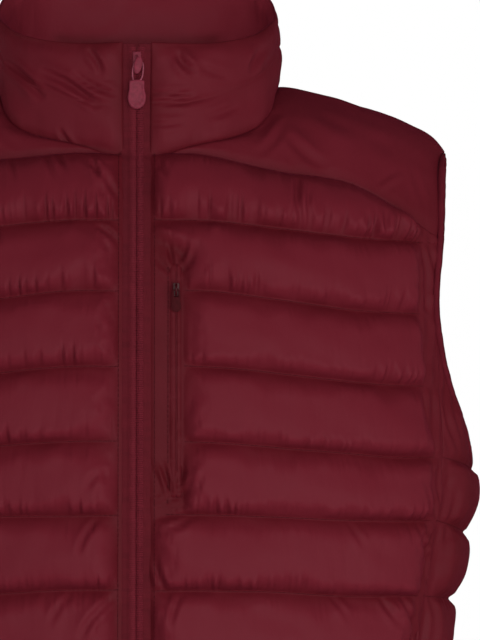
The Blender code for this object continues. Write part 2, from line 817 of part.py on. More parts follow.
def zip_line(z):
    """Depth of the cloth's middle layer beside the zip at a height."""
    collar_foot = collar_point(0, 0).z
    on_collar = ease((z - collar_foot) / COLLAR_BEND + 0.5)
    body = -form_depth(0, min(z, collar_foot), -1) - SEAM_WALL / 2
    top = collar_point(0, max(z - collar_foot, 0) / (COLLAR_RIM[0][3] - collar_foot))
    return mix(body, top.y + SEAM_WALL / 2, on_collar)


def zip_strip(name, x_low, x_high, z_low, z_high, thickness, material):
    """A flat strip beside the centre line that follows the zip from hem to collar."""
    sections = []
    for station in range(STRIP_STATIONS + 1):
        t = station / STRIP_STATIONS
        z = mix(z_low, z_high, mix(t, math.sin(t * math.pi / 2), 0.5))
        y = zip_line(z)
        front, rear = y - thickness / 2, y + thickness / 2
        sections.append([Vector(p) for p in (
            (x_low, front, z), (x_high, front, z), (x_high, rear, z), (x_low, rear, z))])
    return swept(name, sections, False, material)


def pocket_zip(material):
    """The closed zip of the chest pocket, raised from the flat cloth under it."""
    sections = []
    for station in range(POCKET_STATIONS + 1):
        z = mix(POCKET_BOTTOM, POCKET_TOP, station / POCKET_STATIONS)
        ring = []
        for x, lift in ((-1, 0.0), (1, 0.0), (1, 1.0), (-1, 1.0)):
            place_x = POCKET_X + x * POCKET_HALF_WIDTH
            base = on_form(place_x, roll_at(place_x, z))
            away = SEAM_WALL + SEAM_GAP + lift * POCKET_THICKNESS
            ring.append(base + form_normal(base) * away)
        sections.append(ring)
    return swept("pocket_zip", sections, False, material)


# ---------------------------------------------------------------- hard pieces

def prism(name, outline, hole, thickness, material):
    """A flat plate from an outline in its own X and Z, with an optional hole."""
    curve = bpy.data.curves.new(name, "CURVE")
    curve.dimensions = "2D"
    curve.fill_mode = "BOTH"
    curve.extrude = thickness / 2
    for points in (outline, hole):
        if not points:
            continue
        spline = curve.splines.new("POLY")
        spline.points.add(len(points) - 1)
        for point, (x, z) in zip(spline.points, points):
            point.co = (x, z, 0, 1)
        spline.use_cyclic_u = True
    carrier = bpy.data.objects.new(name, curve)
    bpy.context.scene.collection.objects.link(carrier)
    bpy.context.view_layer.update()
    graph = bpy.context.evaluated_depsgraph_get()
    data = bpy.data.meshes.new_from_object(carrier.evaluated_get(graph))
    bpy.data.objects.remove(carrier)
    bpy.data.curves.remove(curve)
    mesh = bmesh.new()
    mesh.from_mesh(data)
    bpy.data.meshes.remove(data)
    bmesh.ops.remove_doubles(mesh, verts=mesh.verts, dist=0.00001)
    bmesh.ops.rotate(mesh, verts=mesh.verts, cent=(0, 0, 0),
                     matrix=Matrix.Rotation(math.pi / 2, 3, "X"))
    return finish_mesh(name, mesh, material)


def arc(centre_x, centre_z, radius_x, radius_z, start, end, steps):
    """Points of an arc, in degrees anticlockwise from +X."""
    points = []
    for step in range(steps + 1):
        angle = math.radians(mix(start, end, step / steps))
        points.append((centre_x + radius_x * math.cos(angle),
                       centre_z + radius_z * math.sin(angle)))
    return points


def union(base, added):
    """Join two solids that overlap, and remove the second."""
    join = base.modifiers.new("join", "BOOLEAN")
    join.operation = "UNION"
    join.object = added
    bpy.context.view_layer.update()
    graph = bpy.context.evaluated_depsgraph_get()
    data = bpy.data.meshes.new_from_object(base.evaluated_get(graph))
    base.modifiers.remove(join)
    base.data = data
    bpy.data.objects.remove(added)


def slider(name, face, half_width, half_height, two_plates, material):
    """A zip slider: a front plate with its bail, and for the front zip a rear plate too.

    face is the middle of the plate's front; the plates lie in X and Z.
    """
    waist = half_height * SLIDER_WAIST
    if two_plates:
        rear = PLATE + CHAIN_THICKNESS + 2 * SEAM_GAP
        profile = (
            (0, -half_height), (0, half_height), (rear + PLATE, half_height),
            (rear + PLATE, -half_height), (rear, -half_height),
            (rear, waist), (PLATE, waist), (PLATE, -half_height),
        )
    else:
        profile = ((0, -half_height), (0, half_height),
                   (PLATE, half_height), (PLATE, -half_height))
    body = prism(name, profile, None, 2 * half_width, material)
    reach = BAIL_GAP + BAR_RADIUS + BAIL_CLEARANCE + BAIL_WIRE
    outer = [(BAIL_FOOT, -BAIL_HALF_HEIGHT)] + arc(
        0, 0, -reach, BAIL_HALF_HEIGHT, -90, 90, 8) + [(BAIL_FOOT, BAIL_HALF_HEIGHT)]
    inner = arc(0, 0, -(reach - BAIL_WIRE), BAIL_HOLE_HALF, -90, 90, 6)
    bail = prism(name + "_bail", outer, inner, BAIL_WIRE, material)
    union(body, bail)
    turn = Matrix.Rotation(math.pi / 2, 4, "Z")
    body.data.transform(Matrix.Translation(face) @ turn)
    body.data.name = name
    return body


def pull(name, hinge, size, material):
    """A pull: a wire loop whose top bar turns in the bail, and the tab below it."""
    loop_width, loop_length, tab_width, tab_length = size
    wire = 2 * BAR_RADIUS
    loop_half, tab_half = loop_width / 2, tab_width / 2
    top = BAR_RADIUS
    shoulder = -loop_length
    end = shoulder - tab_length
    round_start = end + tab_half
    outline = arc(0, top - loop_half * 0.7, loop_half, loop_half * 0.7, 0, 180, 8)
    outline += [(-loop_half, shoulder), (-tab_half * 0.8, shoulder - 0.6 * MM)]
    outline += arc(0, round_start, tab_half, tab_half, 180, 360, 12)
    outline += [(tab_half * 0.8, shoulder - 0.6 * MM), (loop_half, shoulder)]
    hole_half = loop_half - wire
    hole_top = top - wire
    hole = arc(0, hole_top - hole_half * 0.5, hole_half, hole_half * 0.5, 0, 180, 6)
    hole += [(-hole_half, shoulder + wire), (hole_half, shoulder + wire)]
    part = prism(name, outline, hole, wire, material)
    part.location = hinge
    return part


def zip_box(material):
    """The bottom stop that holds both tapes' ends at the hem."""
    y = zip_line(HEM_HEIGHT)
    bpy.ops.mesh.primitive_cube_add(size=1, location=(0, y, HEM_HEIGHT - ZIP_BOX_DROP))
    box = bpy.context.object
    box.name = "zip_box"
    box.data.name = "zip_box"
    box.scale = ZIP_BOX_SIZE
    bpy.ops.object.transform_apply(location=False, rotation=False, scale=True)
    for collection in list(box.users_collection):
        collection.objects.unlink(box)
    vest.objects.link(box)
    bevel = box.modifiers.new("edges", "BEVEL")
    bevel.width = ZIP_BOX_EDGE
    bevel.segments = 1
    box.data.materials.append(material)
    return box


# ---------------------------------------------------------------- materials and assembly

def finish(name, color, roughness, metallic=0.0):
    material = bpy.data.materials.new(name)
    material.use_nodes = True
    shader = material.node_tree.nodes["Principled BSDF"]
    shader.inputs["Base Color"].default_value = (*color, 1)
    shader.inputs["Roughness"].default_value = roughness
    shader.inputs["Metallic"].default_value = metallic
    return material


for old in list(bpy.data.objects):
    bpy.data.objects.remove(old)
vest = bpy.data.collections.new("puffer_vest")
bpy.context.scene.collection.children.link(vest)

shell = finish("shell_cloth", (0.095, 0.010, 0.015), 0.45)
trim = finish("binding_cloth", (0.070, 0.008, 0.012), 0.6)
tape = finish("zip_tape", (0.080, 0.009, 0.014), 0.7)
teeth = finish("zip_teeth", (0.060, 0.008, 0.012), 0.4)
metal = finish("zip_metal", (0.200, 0.030, 0.055), 0.35)
dark_metal = finish("pocket_metal", (0.020, 0.010, 0.012), 0.4)

for hand in (1, -1):
    front_panel(hand, shell)
    side_panel(hand, shell)
    yoke(hand, shell)
    armhole_binding(hand, trim)
back_panel(shell)
collar(shell)
hem_binding(trim)

tape_inner = CHAIN_HALF_WIDTH + SEAM_GAP
tape_outer = PLACKET_EDGE - SEAM_GAP
zip_strip("zip_tape_left", tape_inner, tape_outer, HEM_HEIGHT, ZIP_TOP, TAPE_THICKNESS, tape)
zip_strip("zip_tape_right", -tape_outer, -tape_inner, HEM_HEIGHT, ZIP_TOP, TAPE_THICKNESS, tape)
zip_strip("zip_chain", -CHAIN_HALF_WIDTH, CHAIN_HALF_WIDTH, HEM_HEIGHT,
          SLIDER_HEIGHT - ZIP_PARTING, CHAIN_THICKNESS, teeth)
pocket_zip(teeth)
zip_box(metal)

plate_face = Vector((0, zip_line(SLIDER_HEIGHT) - CHAIN_THICKNESS / 2 - SEAM_GAP - PLATE,
                     SLIDER_HEIGHT))
slider("zip_slider", plate_face, SLIDER_HALF_WIDTH, SLIDER_HALF_HEIGHT, True, metal)
pull("zip_pull", plate_face - Vector((0, BAIL_GAP, 0)), ZIP_PULL, metal)

pocket_base = on_form(POCKET_X, roll_at(POCKET_X, POCKET_SLIDER))
pocket_face = pocket_base - Vector((
    0, SEAM_WALL + 2 * SEAM_GAP + POCKET_THICKNESS + PLATE + POCKET_SLIDER_LIFT, 0))
slider("pocket_slider", pocket_face, POCKET_SLIDER_HALF_WIDTH, POCKET_SLIDER_HALF_HEIGHT,
       False, dark_metal)
pull("pocket_pull", pocket_face - Vector((0, BAIL_GAP, 0)), POCKET_PULL, dark_metal)
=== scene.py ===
"""Looks of a quilted puffer vest: puffed baffles, gathered seams, bound edges, coil zips."""
import math

import bmesh
import bpy
import numpy as np
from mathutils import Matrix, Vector


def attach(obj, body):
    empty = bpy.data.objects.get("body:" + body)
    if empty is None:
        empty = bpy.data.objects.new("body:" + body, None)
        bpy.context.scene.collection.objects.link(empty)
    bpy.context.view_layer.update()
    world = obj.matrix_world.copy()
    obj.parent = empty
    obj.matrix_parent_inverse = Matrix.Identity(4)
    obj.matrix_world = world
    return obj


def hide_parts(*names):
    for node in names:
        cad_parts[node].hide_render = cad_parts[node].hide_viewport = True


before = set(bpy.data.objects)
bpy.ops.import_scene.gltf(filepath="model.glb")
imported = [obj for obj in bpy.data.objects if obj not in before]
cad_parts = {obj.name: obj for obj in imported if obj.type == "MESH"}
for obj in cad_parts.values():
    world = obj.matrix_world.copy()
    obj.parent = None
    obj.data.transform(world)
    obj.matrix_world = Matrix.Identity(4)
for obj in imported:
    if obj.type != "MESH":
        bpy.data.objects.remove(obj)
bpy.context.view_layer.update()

MM = 0.001

# ---------------------------------------------------------------- sizes of the vest

SEAM_WALL = 2.0 * MM          # wall where the quilting is stitched through
BODY_PUFF = 9.5 * MM          # how far a baffle's crest stands above that
COLLAR_PUFF = 4.5 * MM
BAFFLE_DEPTH = 49.0 * MM      # usual distance between two quilting seams
UNDER_ARM_PUFF = 0.5          # share of the full puff in the first baffle under the arm
SEAM_GAP = 0.4 * MM           # between two pieces that are sewn together
LEAST_BAFFLE = 5.0 * MM       # depth of a baffle where the armhole cuts into it

SHOULDER_ROUND = 110.0 * MM   # height over which the shoulder rounds into the chest
OVAL_POWER = 2.6              # 2 is an ellipse, more is boxier

# The form's oval at each height.
FORM_COLUMNS = ("height", "half_width", "front_depth", "back_depth")
FORM = (
    (0.050, 0.2200, 0.0780, 0.0860),
    (-0.050, 0.2340, 0.0925, 0.1000),
    (-0.075, 0.2325, 0.0995, 0.1045),
    (-0.100, 0.2275, 0.1065, 0.1080),
    (-0.150, 0.2180, 0.1165, 0.1120),
    (-0.200, 0.2210, 0.1210, 0.1135),
    (-0.250, 0.2295, 0.1230, 0.1135),
    (-0.300, 0.2270, 0.1230, 0.1120),
    (-0.360, 0.2145, 0.1215, 0.1090),
    (-0.430, 0.2085, 0.1195, 0.1070),
    (-0.520, 0.2090, 0.1180, 0.1090),
    (-0.600, 0.2140, 0.1185, 0.1130),
    (-0.660, 0.2170, 0.1190, 0.1150),
)

# Height of the shoulder ridge at each distance from the centre.
RIDGE_COLUMNS = ("x", "height")
RIDGE = (
    (0.000, 0.030),
    (0.050, 0.014),
    (0.100, -0.003),
    (0.150, -0.0200),
    (0.190, -0.0318),
    (0.205, -0.0375),
    (0.215, -0.0470),
    (0.230, -0.0720),
)

# Quilting seams, from the first one under the yoke to the hem: height at the centre,
# how much lower they are at the side seam, and how much lower again under the arm.
SEAMS = (
    (-0.1032, 0.0116, 0.0000),
    (-0.1510, 0.0125, 0.0000),
    (-0.2009, 0.0120, 0.0000),
    (-0.2508, 0.0100, 0.0070),
    (-0.3000, 0.0035, 0.0085),
    (-0.3499, 0.0045, 0.0030),
    (-0.3984, 0.0030, 0.0030),
    (-0.4470, 0.0020, 0.0030),
    (-0.4955, 0.0010, 0.0020),
    (-0.5440, 0.0000, 0.0010),
    (-0.5926, 0.0000, 0.0000),
    (-0.6410, 0.0000, 0.0000),
)
ARM_SEAM = 3                  # index of the seam that passes under the armhole
DROP_START = 30 * MM          # the seams bend down between these distances from the centre
DROP_END = 180 * MM
BACK_TOP_SEAM = (-0.0560, 0.0100, 0.0000)

# The front yoke seams, from beside the collar to the armhole. The wearer's right one
# is pulled up a little.
YOKE_SEAM_COLUMNS = ("x", "left_height", "right_height")
YOKE_SEAM = (
    (0.009, -0.0577, -0.0577),
    (0.024, -0.0562, -0.0562),
    (0.044, -0.0568, -0.0560),
    (0.072, -0.0628, -0.0585),
    (0.100, -0.0688, -0.0610),
    (0.128, -0.0715, -0.0660),
    (0.149, -0.0766, -0.0730),
    (0.177, -0.0915, -0.0890),
    (0.206, -0.1104, -0.1104),
)
YOKE_TIP_X = 0.024
SHOULDER_SEAM_ROLL = -0.26    # the shoulder seam lies this far behind the ridge

# Armhole: an oval seen from the side, laid onto the form.
ARMHOLE_MIDDLE = -0.1575
ARMHOLE_HALF_HEIGHT = 0.1105
ARMHOLE_HALF_DEPTH = 0.0600
ARMHOLE_POWER = 2.3

# Distance of the side seams in front of and behind the middle of the side.
SIDE_SEAM_COLUMNS = ("height", "depth")
SIDE_SEAM = (
    (-0.180, 0.0590),
    (-0.205, 0.0635),
    (-0.235, 0.0685),
    (-0.265, 0.0710),
    (-0.400, 0.0710),
    (-0.660, 0.0730),
)
SIDE_SEAM_TOP = SIDE_SEAM[0][0]

# Collar: its base lies on the form, its rim is free. "turn" goes round the neck in
# degrees, from the front over the wearer's left to the back.
COLLAR_BASE_COLUMNS = ("turn", "x", "roll_degrees")
COLLAR_BASE = (
    (0, 0.0000, 77.4),
    (28, 0.0440, 65.9),
    (52, 0.0780, 52.8),
    (70, 0.0910, 36.4),
    (90, 0.0965, 2.0),
    (112, 0.0915, -20.0),
    (134, 0.0750, -35.0),
    (156, 0.0440, -44.0),
    (180, 0.0000, -47.0),
)
COLLAR_RIM_COLUMNS = ("turn", "x", "y", "height", "middle_seam")
COLLAR_RIM = (
    (0, 0.0000, -0.0960, 0.0195, 0.44),
    (28, 0.0460, -0.0890, 0.0195, 0.46),
    (52, 0.0790, -0.0650, 0.0280, 0.55),
    (70, 0.0940, -0.0350, 0.0410, 0.60),
    (90, 0.0980, 0.0000, 0.0520, 0.60),
    (112, 0.0930, 0.0320, 0.0690, 0.58),
    (134, 0.0750, 0.0550, 0.0800, 0.55),
    (156, 0.0420, 0.0670, 0.0850, 0.52),
    (180, 0.0000, 0.0710, 0.0870, 0.50),
)

# Front zip.
PLACKET_EDGE = 9.0 * MM       # the fronts and the collar stop this far from the centre
PLACKET_FLAT = 2.0 * MM       # cloth beside that edge that has no puff
ZIP_TOP = 0.0185
SLIDER_HEIGHT = 0.0064        # the tapes part above this height
COLLAR_BEND = 16.0 * MM       # over this height the zip turns from the chest to the collar

# Bound edges.
HEM_HEIGHT = SEAMS[-1][0]
BINDING_DEPTH = 5.8 * MM
BINDING_THICKNESS = 2.8 * MM
BINDING_SHAPE = (             # its section, as shares of the depth and the thickness
    (0.0, 0.0), (0.75, -0.08), (1.0, 0.35), (0.8, 0.95), (0.3, 1.1), (0.0, 0.75),
)

# Chest pocket zip, on the wearer's left.
POCKET_X = 0.0264
POCKET_TOP = -0.132
POCKET_BOTTOM = -0.288
POCKET_FLAT = 8.0 * MM        # cloth beside it that has no puff
POCKET_FLAT_ABOVE = 20.0 * MM  # how far that cloth goes on past its two ends
POCKET_FLAT_BELOW = 18.0 * MM
POCKET_FLAT_BLEND = 14.0 * MM

# ---------------------------------------------------------------- sizes of its finish

# Steps across each piece of cloth, and down it.
FRONT_ACROSS = 200
BACK_ACROSS = 300
SIDE_ACROSS = 96
YOKE_ACROSS = 130
YOKE_DOWN = 84
COLLAR_ROUND = 380
BAND_STEPS = 20               # down each baffle
INSIDE_STEP = 5               # the inside is this many times coarser
COLLAR_INSIDE_STEP = 2
# Steps along the strips and bound edges, and round them.
ARMHOLE_STEPS = 420
HEM_STEPS = 721
TAPE_STEPS = 420
COIL_STEPS = 700
POCKET_STEPS = 220
POCKET_LINE_STEPS = 80
BINDING_ROUNDING = 3          # steps between two corners of its section
POCKET_ROUNDING = 2
LOOP_STEPS = (56, 10)
COVER_STEPS = (40, 15)        # round it, and from its back to its front
TAB_STEPS = 30

# Seeds of the random waves of each piece.
SEEDS = {
    "front_left": 10, "front_right": 30, "back": 60, "side_seam": 90,
    "side_left": 200, "side_right": 240, "yoke_left": 300, "yoke_right": 330,
    "collar": 400, "armhole_binding_left": 501, "armhole_binding_right": 499,
    "hem_binding": 520, "outer_lip": 600, "inner_lip": 610, "pocket_coil": 620,
}
# How many random values a wave and a swell have, and where zero lies among them.
WAVE_VALUES, WAVE_START = 1024, 300
SWELL_VALUES, SWELL_START = 256, 90
# In metres along those waves, from one baffle to the next, so that each differs.
LOWER_SHIFT, UPPER_SHIFT, PUFF_SHIFT = 0.3, 0.7, 0.4

NECK_SHARE = 6 / 11           # share of the back's top edge that lies along the collar
# How much the steps crowd together: at the ends of a front, at the sides of the back and
# of a side panel, and at the seams above and below a baffle.
FRONT_CROWDING = 0.3
BACK_CROWDING = 0.35
SIDE_CROWDING = 0.6
BAND_CROWDING = 0.55
# Finding places on the form.
FIRST_EDGE = 0.2              # first guess of a panel's half width
FRONT_ROUNDS, BACK_ROUNDS = 4, 5        # how often it is bettered
WIDEST = 0.26                 # wider than the form is anywhere
HALVINGS = 32
NORMAL_STEP = 0.2 * MM
ANGLE_STEP = 0.02             # radians of the armhole
COLLAR_NORMAL_STEPS = (1, 0.02)         # degrees round it, share of its height
SHOULDER_TURNS = (90, 130)    # the shoulder seam meets the collar between these
SHOULDER_ANGLES = (0, -0.8)   # and the armhole between these
SEARCH_STEPS = 4001

# How pieces meet.
SEAM_LAP = 0.15 * MM          # two pieces overlap by twice this in their seam
CORNER_LAP = 18               # and by this many times more at the yoke's lower corner
CORNER_POWERS = (12, 24)      # how fast that fades along the yoke seam and the armhole
TOP_TUCK = 1.0 * MM           # fronts and yokes sink by this at the yoke seam
TUCK_DEPTH = 3.0 * MM         # over this depth on the fronts
YOKE_TUCK_SHARE = 0.06        # and over this share of the yoke's length
YOKE_TIP_RISE = 0.6 * MM      # the yoke's tip lies this far above its seam
SIDE_WAVER = 1.1 * MM         # how far the side seams stray from their line
SIDE_WAVER_LENGTH = 17.0 * MM
SIDE_WAVER_START = 40.0 * MM  # distance under their top where they stray fully
SEAM_WAVER = 0.8 * MM         # how far the quilting seams stray from their line
SEAM_WAVER_LENGTH = 46.0 * MM
SEAM_WAVER_END = 0.2          # distance from the centre where they don't stray any more
SEAM_WAVER_FADE = 0.03
EDGE_DROP = 0.9 * MM          # the fronts thin down beside the zip
EDGE_ROUND = 2.6 * MM

# The puff of a baffle.
PUFF_POWERS = (2.2, 0.62)     # of its crest, higher is flatter; of its flanks, lower is steeper
NARROW_POWER = 0.7            # how much a narrow baffle puffs less
CREST_SHARE = 0.76            # below 1 the crest sits above the middle of the baffle
CREST_AT = 0.66               # share of its depth where a filled baffle is thickest
TOP_SHARE = 0.66              # share of the puff that is left at its top
SIDE_SHARE = 0.88             # share of it that the side panels have
COLLAR_SHARE = 0.75           # and that the collar has
MIDDLE_SEAM_PUFF = 0.72       # share that the collar keeps at its middle seam
YOKE_LOFT = 7.6 * MM
YOKE_POWER = 0.75
LINING_PUFF = 2.6 * MM        # how far the lining swells inwards between two seams
SIDE_LINING_SHARE = 0.8
COLLAR_LINING_PUFF = 4.2 * MM

# Grooves beside the seams: width until the puff is full.
GROOVE_UNDER = 13.0 * MM      # under a quilting seam
GROOVE_OVER = 9.5 * MM        # over one
SIDE_GROOVE = 5.0 * MM        # at both in the side panels
COLLAR_GROOVES = (11.0 * MM, 12.0 * MM, 9.0 * MM)    # at its edge, middle seam and ends
ZIP_FADE = 16.0 * MM          # beside the zips
ARMHOLE_FADE = 9.0 * MM       # along the armhole
SIDE_FADE = 13.0 * MM         # along the side seams
ARMHOLE_FLAT = 12.0 * MM      # cloth along the armhole that has no puff
SIDE_FLAT = 5.0 * MM          # the same along the side seams
UNDER_ARM_START = 0.6         # share of the armhole's half height where the sides change
UNDER_ARM_BLEND = 50.0 * MM
POCKET_LAP = 3.0 * MM         # the puff starts this much nearer to the pocket zip
PLAIN_LAP = 1.0 * MM          # and to the edge beside the front zip
RIGHT_FLAT = 2.0 * MM         # more cloth without puff beside it on the wearer's right
# How strongly pleats notch the grooves: at the ends of a baffle, beside the zip, in
# the collar, and under a seam as a share of what they do over it.
END_STRENGTH = 0.5
ZIP_STRENGTH = 0.6
COLLAR_STRENGTH = 0.2
BELOW_SHARE = 0.35
# Those pleats: spacing, sharpness, depth, and what is taken off them.
PLEATS = (3.6 * MM, 0.5, 1.1, 0.3)
# They come in patches: spacing, share everywhere, how much it varies, least and most.
PATCHES = (21.0 * MM, 0.75, 0.7, 0.25, 1.3)
GROOVE_WAVER = (13.0 * MM, 0.3)         # spacing and share of the width
GROOVE_LIMITS = (0.35, 2.2)             # least and most share of the width

# Painted light and shade in the cloth's colour: a share of lightness, high on the lit crests and
# low where shade falls.
EDGE_PAINTED_LIGHT = 0.2               # along the seams
YOKE_PAINTED_LIGHT = 0.72              # in the middle of a yoke
SIDE_PAINTED_LIGHT = 0.18
COLLAR_PAINTED_LIGHT = 0.4
PAINTED_TOP_SHADE = 0.42              # painted shade at the top of a baffle, where the cloth faces up
PAINTED_SHADE_LOW = 21.0 * MM          # how deep that reaches near the hem
PAINTED_SHADE_HIGH = 34.0 * MM         # and on the chest
PAINTED_SHADE_BETWEEN = (-0.34, -0.18)           # heights between which it changes
# Painted shadow low in the middle of the collar's lining, standing in for the shadow of the
# collar's front; it grows lighter between these heights and these widths.
PAINTED_LINING_HEIGHTS = (0.040, 0.052)
PAINTED_LINING_WIDTHS = (50.0 * MM, 70.0 * MM)
PAINTED_LINING_SIDES = 0.8             # how light its sides get

# Folds that a seam draws into the cloth: spacing, reach from the seam, height.
GATHERS = (
    (4.6 * MM, 4.5 * MM, 0.60 * MM),
    (9.5 * MM, 9.0 * MM, 1.10 * MM),
    (22.0 * MM, 18.0 * MM, 1.20 * MM),
)
GATHER_LEAN = (0.25, 40.0 * MM)         # sideways lean, and the spacing of its changes
GATHER_START = 1.6 * MM       # distance from the seam over which they rise
FOLD_POWER = 0.7              # lower is sharper
FOLD_LEVEL = 0.9              # taken off, so that they rise as much as they dip
# How strongly each quilting seam of the fronts gathers the baffle above and below it.
GATHER_ABOVE = (2.3, 1.5, 1.0, 1.0, 1.1, 1.1, 1.2, 1.0, 1.1, 1.0, 1.1, 0.9)
GATHER_BELOW = (0.7, 0.8, 0.7, 0.8, 0.9, 0.9, 1.1, 1.0, 1.1, 1.0, 1.0, 1.1, 1.0)
BACK_GATHERS = (1.1, 0.9)     # the same on the back
END_GATHERS = 1.2             # along the side seams of the fronts and the back
SIDE_END_GATHERS = 1.3
ZIP_GATHERS = 0.9             # beside the zips
YOKE_GATHERS = (0.8, 0.7, 0.8, 0.8)     # at its front, back, armhole and neck
YOKE_LENGTH, YOKE_WIDTH = 90.0 * MM, 180.0 * MM     # along its cloth
COLLAR_GATHERS = (0.6, 0.3, 0.8)        # at its edge, middle seam and ends
COLLAR_RADIUS = 90.0 * MM     # turns degrees round the neck into cloth
COLLAR_END = 40.0 * MM        # cloth along the first 28 degrees of it
EDGE_DETAIL = 0.2             # share of the folds at its ends
# Folds that lie along the side seams: spacing, height, reach, distance where they start.
SEAM_FOLDS = (7.5 * MM, 2.0 * MM, 13.0 * MM, 1.5 * MM)
FOLD_SWAY = (6.0, 28.0 * MM)  # in radians, and the spacing of its changes
FOLD_SIZES = (0.6, 0.4, 17.0 * MM)      # share everywhere, how much it varies, spacing
# Slow swells of the down inside a baffle: spacing along, spacing down, height.
SWELLS = (
    (85.0 * MM, 60.0 * MM, 1.1 * MM),
    (34.0 * MM, 24.0 * MM, 1.4 * MM),
    (15.0 * MM, 13.0 * MM, 0.50 * MM),
)
YOKE_SWELLS = 1.3             # how much stronger they are in a yoke
COLLAR_SWELLS = 1.5           # in the collar
LINING_SWELLS = 1.6           # and in its lining
SWELL_PUFF = 4.0 * MM         # puff from which the swells are full
FLAT_DETAIL = 0.25            # share of the folds where there is no puff
DETAIL_PUFF = 5.0 * MM        # puff that would add the whole of them
# Folds are full one part in so many of a baffle's depth away from its seams.
KEEP_RATE = 14
END_RATE = 8
COLLAR_KEEP_RATE = 12
YOKE_RATES = (30, 16)         # across a yoke and down it
# Creases dip no deeper than this into flat cloth.
FRONT_LOWEST = -1.5 * MM
LOWEST = -0.6 * MM
COLLAR_LOWEST = -0.8 * MM
LINING_LOWEST = -0.4 * MM
# How much deeper the listed creases are than their tables say.
FRONT_CREASES = 1.4
COLLAR_CREASES = 2.0
# Their section: depth of the trough, height, distance and width of the lips beside it.
CREASE_TROUGH = 0.8
CREASE_LIPS = (0.6, 1.7, 0.9)
CREASE_ENDS = (0.02, 0.98)    # shares of its length where its depth stops changing

